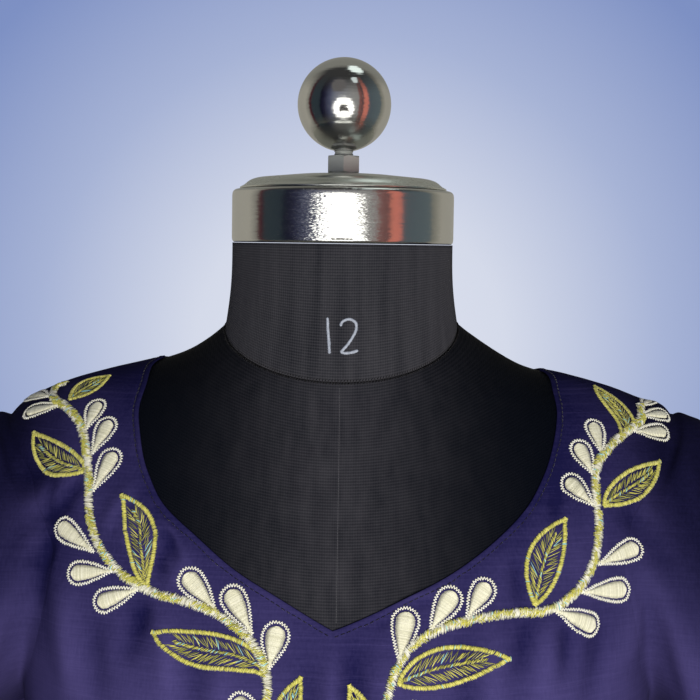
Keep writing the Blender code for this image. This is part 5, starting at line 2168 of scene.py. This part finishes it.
@dataclass
class DressForm:
    """The limbless form: padded torso and neck under stretch net, seams, and a chalked size."""

    neck_places: Array
    neck_edge: Array
    sides: int = 144
    fine: int = 6
    pull_start: float = 4.0
    pull_reach: float = 14.0
    pull: float = 3.4
    seam_groove: Triple = (0.15, 0.0, 0.55)
    seam_lip: Triple = (0.12, 1.2, 0.7)
    neck_rings: int = 25
    neck_waist: float = 0.018
    neck_face: float = 67.0
    seam_tops: tuple[float, float] = (1411.0, 1445.0)
    seam_clearance: float = 2.0
    seam_stitch: float = 1.1
    chalk_width: float = 1.7
    # The chalk's cross-section: share of its half width, and lift off the net.
    chalk_section: tuple = ((1.0, 0.02), (0.55, 0.16), (-0.55, 0.16), (-1.0, 0.02), (0.0, -0.1))
    # Strokes of the number, as x and z.
    digit_one: tuple = ((-6.4, 1444.5), (-6.1, 1438.0), (-5.5, 1432.0), (-5.2, 1427.0))
    digit_two: tuple = (
        (-0.2, 1440.4), (1.1, 1442.8), (4.4, 1443.8), (7.3, 1442), (7.3, 1438.4), (5, 1433.9),
        (2.6, 1430.5), (0.5, 1427.9), (3.7, 1427.4), (8.5, 1428.7),
    )

    def __post_init__(self) -> None:
        """Lay out the form's smooth surface."""
        self.surface = BodySurface(FORM_LINES + level(FORM_LOWER_LINES))

    def turns(self) -> Array:
        """Turns of the grid, with a few close together at each seam.

        Returns:
            The turns in degrees.
        """
        close = np.array((0.3, 0.6, 1.2, 2.4))
        even = np.arange(-180.0, 180.0, 360.0 / self.sides)
        clear = np.abs((even + 90.0) % 180.0 - 90.0) > 2.6
        seams = np.concatenate((-close, (0.0,), close, close - 180.0, 180.0 - close, (180.0,)))
        return np.sort(np.concatenate((even[clear], seams)))

    def build_torso(self, material: Material) -> None:
        """Make the torso, drawn in a little where the cloth hides it.

        Args:
            material: Its finish.
        """
        row = np.arange(self.surface.last_row * self.fine + 1) / self.fine
        turn, row = np.meshgrid(self.turns(), row)
        points = self.surface.points(turn, row)
        normals = self.surface.normals(turn, np.clip(row, SMALL_ROW, self.surface.last_row - SMALL_ROW))
        away, _ = distance_to_line(points, self.neck_edge)
        hidden = row > np.interp(turn, self.neck_places[:, 0], self.neck_places[:, 1])
        clear_of_socket = smooth_step((points[..., 2] - FORM_BOTTOM) / self.pull_reach)
        drawn = self.pull * smooth_step((away - self.pull_start) / self.pull_reach) * hidden * clear_of_socket
        aside = np.sin(np.radians(turn)) * points[..., 1]
        seam = swell(np.abs(aside), self.seam_lip) - swell(aside, self.seam_groove)
        points = points + normals * (seam - drawn)[..., None]
        middle = points[:, np.argmin(np.abs(turn[0]))]
        run = np.broadcast_to(lengths_along(middle)[:, None], row.shape)
        net = (run + self.neck_face, points[..., 0])
        self.torso_sheet = self.ring_solid("torso", points, net, (-4.0, 0.0), material, "form_torso")

    def ring_solid(
        self, name: str, grid: Array, net: tuple, rises: tuple, material: Material, node: str
    ) -> tuple[Array, Array]:
        """Make a closed solid of rings.

        Args:
            name: The piece's name.
            grid: Its points, ring by ring.
            net: How far along its courses and wales the net is at each point.
            rises: How far the middle of the first and last ring's fan stands above the ring.
            material: Its finish.
            node: The node that it stands for.

        Returns:
            The points and faces of its side.
        """
        number = np.arange(grid[..., 0].size).reshape(grid.shape[:2])
        quads = tube_faces(number)[:, (0, 3, 2, 1)]
        middles = [grid[i].mean(axis=0) + np.array((0.0, 0.0, rise)) for i, rise in zip((0, -1), rises)]
        faces = quads.tolist()
        for ring, middle in ((number[0], number.size), (number[-1], number.size + 1)):
            faces += [(a, b, middle) for a, b in zip(ring.tolist(), np.roll(ring, -1).tolist())]
        points = grid.reshape(-1, 3)
        piece = make_piece(name, np.vstack((points, middles)), faces, material, "mesh_fabric", node)
        face_out(piece.data)
        for value, run in zip(("course", "wale"), net):
            set_values(piece, value, np.append(run.ravel(), (0.0, 0.0)))
        return points, quads

    def build_neck(self, material: Material) -> None:
        """Make the neck, ring by ring from its slanted seam to its top.

        Args:
            material: Its finish.
        """
        turn = np.arange(-180.0, 180.0, 360.0 / self.sides)
        share = np.linspace(0.0, 1.0, self.neck_rings)[:, None, None]
        self.neck_seam = self.surface.points(turn, np.zeros_like(turn)) + np.array((0.0, 0.0, SEAM_GAP))
        angle = np.radians(turn)
        top = NECK_TOP_RADIUS * np.stack((np.sin(angle), -np.cos(angle), np.zeros_like(angle)), axis=-1)
        top[:, 2] = NECK_TOP
        waist = 1.0 - self.neck_waist * np.sin(np.pi * share)
        grid = self.neck_seam + (top - self.neck_seam) * share
        grid *= np.concatenate((waist, waist, np.ones_like(waist)), axis=-1)
        course = np.broadcast_to(np.linspace(self.neck_face, 0.0, self.neck_rings)[:, None], grid.shape[:2])
        wale = np.arctan2(grid[..., 0], -grid[..., 1]) * NECK_TOP_RADIUS
        self.neck_sheet = self.ring_solid("neck", grid, (course, wale), (-3.6, 0.0), material, "form_neck")

    def sew_seams(self) -> None:
        """Overlock the neck's seam and stitch the centre front and back."""
        chance = np.random.default_rng(SEED + 2)
        thread = Thread("black_thread", Colours.BLACK.value, 0.8, 0.0)
        ground = Ground(self.torso_sheet, self.neck_sheet)
        batch = StitchBatch(ground, thread, "form_seams", 0.34, "mesh_fabric")
        line = resample(np.vstack((self.neck_seam, self.neck_seam[:1])), 1.5)
        out = unit(line * np.array((1.0, 1.0, 0.0)))
        high = line + np.array((0.0, 0.0, 1.3)) - out * 0.2
        low = line - np.array((0.0, 0.0, 0.9)) + out * 0.9
        tones = chance.uniform(0.0, 0.7, len(line))
        batch.lay(high, low, 0.25, tones, 0.1)
        batch.lay(low[:-1], high[1:], 0.2, tones[:-1], 0.05)
        feet = (NECKLINE[-1][0], BACK_NECK_BOTTOM)
        for on_front, top, foot in zip((True, False), self.seam_tops, feet):
            z = np.arange(top, foot + self.seam_clearance, -self.seam_stitch)
            spots = self.surface.at_view(np.full(len(z), 0.01), z, on_front)
            batch.lay(spots[:-1], spots[1:], 0.02, np.ones(len(z) - 1), 0.0, 0.5)
        batch.build()

    def chalk_number(self) -> None:
        """Write the size on the neck in chalk."""
        chance = np.random.default_rng(SEED + 3)
        ground = Ground(self.neck_sheet)
        sides = range(len(self.chalk_section))
        points, faces = [], []
        for stroke in (self.digit_one, self.digit_two):
            path = resample(curve_through(stroke, 60), 0.5)
            line = np.insert(path, 1, -NECK_TOP_RADIUS, axis=1)
            places, normals, _, across = ground.follow(line)
            size = 0.5 * self.chalk_width * (1.0 + 0.16 * chance.uniform(-1.0, 1.0, (2, len(path), 1)))
            size[:, [0, -1]] *= 0.55
            start, count = len(points), len(path)
            for share, lift in self.chalk_section:
                width = size[0] if share > 0.0 else size[1]
                points += list(places + across * width * share + normals * lift)
            for j in sides:
                a, b = start + j * count, start + (j + 1) % len(sides) * count
                faces += [(a + i, a + i + 1, b + i + 1, b + i) for i in range(count - 1)]
            faces.append(tuple(start + j * count for j in sides))
            faces.append(tuple(start + (j + 1) * count - 1 for j in sides)[::-1])
        piece = make_piece("chalked_size", np.array(points), faces, Chalk().material(), "mesh_fabric")
        face_out(piece.data)

    def build(self) -> None:
        """Make the form."""
        # The torso's net gets painted shade towards its sides, the neck's net a painted sheen where it leans away.
        self.build_torso(NetFabric("torso_net", thread=(0.049, 0.047, 0.053), side_shade_rate=380.0).material())
        self.build_neck(NetFabric("neck_net", grazing_sheen=1.3).material())
        self.sew_seams()
        self.chalk_number()


@dataclass
class Turned:
    """A turned piece: an outline of (radius, z) points, rounded at its corners, spun round the axis."""

    name: str
    node: str
    outline: list[tuple[float, float]]
    rounding: float = 0.5
    sides: int = 160
    ring: bool = False
    wobble: float = 0.0

    def rounded(self) -> list[tuple[float, float]]:
        """Cut each corner of the outline with a small arc.

        Returns:
            The rounded outline.
        """
        line = [np.array(point) for point in self.outline]
        made = []
        for i, corner in enumerate(line):
            if not self.ring and i in (0, len(line) - 1):
                made.append(tuple(corner))
                continue
            before, after = line[i - 1] - corner, line[(i + 1) % len(line)] - corner
            reach = min(self.rounding, 0.45 * np.linalg.norm(before), 0.45 * np.linalg.norm(after))
            start, end = corner + unit(before) * reach, corner + unit(after) * reach
            for t in np.linspace(0.0, 1.0, 5):
                made.append(tuple((1 - t) ** 2 * start + 2 * t * (1 - t) * corner + t**2 * end))
        return made

    def build(self, material: Material, slot: str) -> None:
        """Spin the outline.

        Args:
            material: The piece's finish.
            slot: The record's finish that it takes.
        """
        angles = math.tau * np.arange(self.sides) / self.sides
        points, rings = [], []
        for radius, z in self.rounded():
            start = len(points)
            if radius < 1e-3:
                points.append((0.0, 0.0, z))
                rings.append([start] * self.sides)
                continue
            for x, y in ((math.cos(angle), math.sin(angle)) for angle in angles):
                wide = radius + self.wobble * noise.noise(Vector((x * 3.0, y * 3.0, z / 14.0)))
                points.append((wide * x, wide * y, z))
            rings.append(range(start, len(points)))
        if self.ring:
            rings.append(rings[0])
        faces = []
        for low, high in zip(rings, rings[1:]):
            for i in range(self.sides):
                after = (i + 1) % self.sides
                faces.append(tuple(dict.fromkeys((low[i], low[after], high[after], high[i]))))
        piece = make_piece(self.name, np.array(points), faces, material, slot, self.node)
        face_out(piece.data)


@dataclass
class Cap:
    """The polished cap on the neck, with its nut, stud and ball."""

    band_radius: float = 57.5
    band_low: float = NECK_TOP + SEAM_GAP
    band_top: float = 1507.5
    lid_radius: float = 53.5
    lid_flat: float = 46.0
    lid_top: float = 1513.5
    ball_radius: float = 24.2
    ball_centre: float = 1551.8
    stud_radius: float = 5.0
    socket_depth: float = 8.0

    def build(self, nodes: dict[str, Object]) -> None:
        """Make the cap and finish the nut and stud.

        Args:
            nodes: The frame's nodes by name.
        """
        polished = PolishedSteel(rubbed=0.7).material()
        low, top, radius = self.band_low, self.band_top, self.band_radius
        band = [(0.0, low), (radius - 0.9, low), (radius - 0.2, low + 1.0), (radius, low + 2.4)]
        band += [(radius, top - 3.0), (radius - 0.3, top - 1.2), (radius - 1.6, top), (0.0, top)]
        Turned("cap_band_plate", "cap_band", band, 1.0, wobble=0.10).build(polished, "chrome")
        dull = PolishedSteel("lid_plate", (0.70, 0.72, 0.68), (0.50, 0.52, 0.49), 0.24).material()
        seat = top + SEAM_GAP
        lid = [(0.0, seat), (self.lid_radius, seat), (self.lid_radius + 0.1, seat + 0.9)]
        lid += [(self.lid_flat + 5.5, seat + 1.9), (self.lid_flat + 2.6, self.lid_top - 1.2)]
        lid += [(self.lid_flat - 1.0, self.lid_top), (self.lid_flat / 2.0, self.lid_top + 2.2)]
        lid += [(11.2, self.lid_top + 2.7), (0.0, self.lid_top + 2.7)]
        Turned("cap_lid_plate", "cap_lid", lid, 2.2, wobble=0.08).build(dull, "chrome")
        self.build_ball()
        grain = (900.0, 900.0, 900.0)
        zinc = PolishedSteel("zinc_plate", (0.54, 0.56, 0.53), (0.40, 0.41, 0.37), 0.42, grain, metallic=0.45)
        plated = zinc.material()
        for name in ("nut", "stud"):
            nodes[name].data.materials.clear()
            nodes[name].data.materials.append(plated)

    def build_ball(self) -> None:
        """Make the ball, with its threaded hole below."""
        bore = self.stud_radius + SEAM_GAP
        mouth = math.asin(bore / self.ball_radius)
        top = self.ball_centre - self.ball_radius + self.socket_depth + SEAM_GAP
        outline = [(0.0, top), (bore, top)]
        steps = 44
        for i in range(steps + 1):
            angle = mouth + (math.pi - mouth) * i / steps
            radius = self.ball_radius * math.sin(angle) if i < steps else 0.0
            outline.append((radius, self.ball_centre - self.ball_radius * math.cos(angle)))
        finish = PolishedSteel("polished_ball", roughness=0.05, scratches=(900.0, 240.0, 320.0))
        Turned("ball_finial", "ball", outline, 0.12, 112).build(finish.material(), "chrome")


@dataclass
class Stand:
    """The round base, collar, pole and socket under the form."""

    base_radius: float = 215.0
    base_rim: float = 5.0
    base_crown: float = 16.0
    pole_radius: float = 16.0
    collar_radius: float = 30.0
    collar_top: float = 46.0
    socket_radius: float = 42.0
    socket_bottom: float = 742.0

    def build(self) -> None:
        """Make the stand."""
        black = PaintedSteel().material()
        chrome = PolishedSteel("pole_chrome", roughness=0.14, scratches=(900.0, 900.0, 60.0)).material()
        rim, radius = self.base_rim, self.base_radius
        base = [(0.0, 0.0), (radius - 1.5, 0.0), (radius, 1.5), (radius, rim), (radius - 4.0, rim + 2.5)]
        base += [(radius * 0.6, rim + 7.0), (self.collar_radius + 12.0, self.base_crown)]
        base.append((0.0, self.base_crown))
        Turned("base_plate", "base", base, 2.0, 192).build(black, "black_steel")
        low, inner = self.base_crown + SEAM_GAP, self.pole_radius + SEAM_GAP
        neck = self.collar_radius - 8.0
        collar = [(inner, low), (self.collar_radius, low), (self.collar_radius, low + 8.0)]
        collar += [(neck, low + 13.0), (neck, self.collar_top), (inner, self.collar_top)]
        Turned("pole_collar", "collar", collar, 1.2, 96, ring=True).build(black, "black_steel")
        top = FORM_BOTTOM - SEAM_GAP
        pole = [(0.0, low), (self.pole_radius, low), (self.pole_radius, top), (0.0, top)]
        Turned("stand_pole", "pole", pole, 0.8, 96).build(chrome, "chrome")
        foot, wide = self.socket_bottom, self.socket_radius
        socket = [(inner, foot - 22.0), (inner + 5.0, foot - 22.0), (inner + 5.0, foot), (wide, foot + 8.0)]
        socket += [(wide, top), (inner, top)]
        Turned("pole_socket", "socket", socket, 1.0, 96, ring=True).build(black, "black_steel")


@dataclass
class Studio:
    """Camera, plain floor, soft lights and the pale surroundings."""

    eye: Triple = (4.65, -740.0, 1480.0)
    down_tilt: float = 4.28
    roll: float = 0.8
    lens: float = 72.83
    sensor: float = 36.0
    floor_radius: float = 3000.0
    floor_sides: int = 96
    lit_height: float = 1250.0
    lamps: tuple = (
        ("key", (110.0, -900.0, 1270.0), 380.0, 10.4, (1.0, 0.98, 0.94)),
        ("back", (200.0, 2400.0, 1000.0), 1600.0, 28.0, (0.95, 0.97, 1.0)),
    )
    # What steel mirrors all round, from 0 behind by the left, front and right to 1 behind.
    surround: tuple = (
        (0, (0.34, 0.33, 0.29)), (0.19, (0.46, 0.44, 0.38)), (0.228, (0.27, 0.26, 0.23)),
        (0.236, (0.075, 0.014, 0.022)), (0.250, (0.060, 0.012, 0.020)),
        (0.256, (0.036, 0.052, 0.062)), (0.320, (0.034, 0.048, 0.060)),
        (0.330, (0.007, 0.007, 0.018)), (0.360, (0.022, 0.022, 0.050)), (0.400, (0.10, 0.11, 0.18)),
        (0.440, (0.26, 0.27, 0.33)), (0.560, (0.36, 0.355, 0.345)), (0.600, (0.33, 0.32, 0.31)),
        (0.604, (0.27, 0.12, 0.11)), (0.622, (0.24, 0.10, 0.09)), (0.626, (0.10, 0.075, 0.085)),
        (0.635, (0.13, 0.085, 0.09)), (0.639, (0.80, 0.26, 0.19)), (0.671, (0.74, 0.23, 0.18)),
        (0.677, (0.10, 0.13, 0.15)), (0.780, (0.13, 0.165, 0.18)), (0.790, (0.25, 0.245, 0.205)),
        (0.84, (0.44, 0.42, 0.36)), (1, (0.34, 0.33, 0.29)),
    )
    # Patches of light and shade in it: turn from the front, rise, size in degrees and colour.
    patches: tuple = (
        (180, 44, 38, (0.27, 0.268, 0.24)), (-1.7, -13, 25, (3.4, 3.35, 3.2)),
        (-2, -16.5, 13, (0.07, 0.06, 0.06)), (-2, -28, 9, (3, 3, 2.8)),
        (110, 72, 12, (1.3, 1.45, 1.4)), (37, 55, 7, (0.9, 1, 1)),
        (-17, 42, 17, (0.17, 0.16, 0.16)),
    )
    # What the camera sees, from the middle outwards.
    backdrop: tuple = (
        (0, (0.74, 0.77, 0.87)), (0.25, (0.66, 0.70, 0.82)), (0.50, (0.385, 0.452, 0.67)),
        (0.74, (0.208, 0.281, 0.548)), (1, (0.19, 0.265, 0.52)),
    )
    # What steel mirrors from straight below, at 0, to straight above, at 1.
    above: tuple = (
        (0, (0.12, 0.12, 0.10)), (0.3, (0.07, 0.07, 0.062)), (0.6, (0.035, 0.037, 0.042)),
        (1, (0.05, 0.05, 0.05)),
    )
    backdrop_reach: float = 25.0
    ambient: tuple = (0.085, 0.10, 0.165)

    def build(self) -> None:
        """Set up the studio."""
        self.place_camera()
        self.lay_floor()
        self.hang_lights()
        self.paint_world()

    def place_camera(self) -> None:
        """Put the camera where the photograph was taken from."""
        tilt, roll = math.radians(self.down_tilt), math.radians(self.roll)
        forward = Vector((0.0, math.cos(tilt), -math.sin(tilt)))
        across = Vector((1.0, 0.0, 0.0))
        upright = across.cross(forward)
        right = across * math.cos(roll) + upright * math.sin(roll)
        up = upright * math.cos(roll) - across * math.sin(roll)
        data = bpy.data.cameras.new("camera")
        data.lens = self.lens
        data.sensor_width = self.sensor
        data.clip_start = 0.01
        camera = add_object("camera", data)
        turn = Matrix((right, up, -forward)).transposed()
        camera.matrix_world = Matrix.Translation(Vector(self.eye) * MM) @ turn.to_4x4()
        bpy.context.scene.camera = camera

    def lay_floor(self) -> None:
        """Lay the round floor that the stand rests on."""
        angle = math.tau * np.arange(self.floor_sides) / self.floor_sides
        points = np.column_stack((np.cos(angle), np.sin(angle), np.zeros_like(angle))) * self.floor_radius
        mesh = bpy.data.meshes.new("floor")
        mesh.from_pydata(points * MM, [], [tuple(range(self.floor_sides))])
        mesh.materials.append(PlainFloor().material())
        floor = add_object("floor", mesh)
        floor.visible_glossy = False
        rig.stage(floor)

    def hang_lights(self) -> None:
        """Hang large soft lights in front and behind."""
        for name, place, size, power, colour in self.lamps:
            data = bpy.data.lights.new(name, "AREA")
            data.size = size * MM
            data.energy = power
            data.color = colour
            lamp = add_object(name, data)
            lamp.location = Vector(place) * MM
            aim = Vector((0.0, 0.0, self.lit_height)) * MM - lamp.location
            lamp.rotation_euler = aim.to_track_quat("-Z", "Y").to_euler()
            lamp.visible_glossy = False

    def paint_world(self) -> None:
        """Paint what the steel mirrors, and the pale blue backdrop that the camera sees."""
        world = bpy.data.worlds.new("studio")
        world.use_nodes = True
        world.cycles.sampling_method = "NONE"
        bpy.context.scene.world = world
        graph = Graph(world.node_tree)
        x, y, z = graph.axes(graph.term("ShaderNodeTexCoord", output=0))
        bearing = x.call("ARCTAN2", y * -1.0) / math.tau + 0.5
        rise = z * 0.5 + 0.5
        white, black = (1.0, 1.0, 1.0), (0.0, 0.0, 0.0)
        tall = graph.ramp(rise, [(0.12, black), (0.30, white), (0.68, white), (0.95, black)])
        lit = graph.mix(tall, graph.ramp(rise, list(self.above)), graph.ramp(bearing, list(self.surround)))
        for turn, rise, size, colour in self.patches:
            turn, rise = math.radians(turn), math.radians(rise)
            aim = (math.sin(turn) * math.cos(rise), -math.cos(turn) * math.cos(rise), math.sin(rise))
            near = self.angle_to(aim, (x, y, z)) / math.radians(2.0 * size)
            lit = graph.mix(graph.ramp(near, [(0.0, white), (0.42, white), (0.56, black)]), lit, colour)
        tilt = math.radians(self.down_tilt)
        ahead = (y * math.cos(tilt) + z * -math.sin(tilt)).call("MINIMUM", 1.0).call("ARCCOSINE")
        seen = graph.ramp(ahead / math.radians(self.backdrop_reach), list(self.backdrop))
        camera_ray, glossy_ray = (graph.term("ShaderNodeLightPath", output=i) for i in (0, 3))
        colour = graph.mix(camera_ray, graph.mix(glossy_ray, self.ambient, lit), seen)
        graph.feed(world.node_tree.nodes["Background"].inputs["Color"], colour)
        bpy.context.scene.view_settings.view_transform = "Standard"

    def angle_to(self, aim: Triple, ray: tuple[Term, Term, Term]) -> Term:
        """Angle between a ray and a direction."""
        dot = ray[0] * aim[0] + ray[1] * aim[1] + ray[2] * aim[2]
        return dot.call("MINIMUM", 1.0).call("ARCCOSINE")


def write_sizes(before: tuple[Vector, Vector], after: tuple[Vector, Vector]) -> None:
    """Write the frame's box and the dressed part's box.

    Args:
        before: The frame's lowest and highest corner.
        after: The dressed part's.
    """
    boxes = {"cad": [list(corner) for corner in before], "visual": [list(corner) for corner in after]}
    with open(SIZE_FILE, "w", encoding="utf-8") as out:
        json.dump(boxes, out)


def main() -> None:
    """Load the frame, dress it and set up the studio."""
    logging.basicConfig(level=logging.INFO, format="%(message)s")
    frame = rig.load()
    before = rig.bounds()
    kurti = Kurti()
    kurti.build()
    DressForm(*kurti.neckline()).build()
    Cap().build(frame["nodes"])
    Stand().build()
    Studio().build()
    write_sizes(before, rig.bounds())


if __name__ == "__main__":
    main()
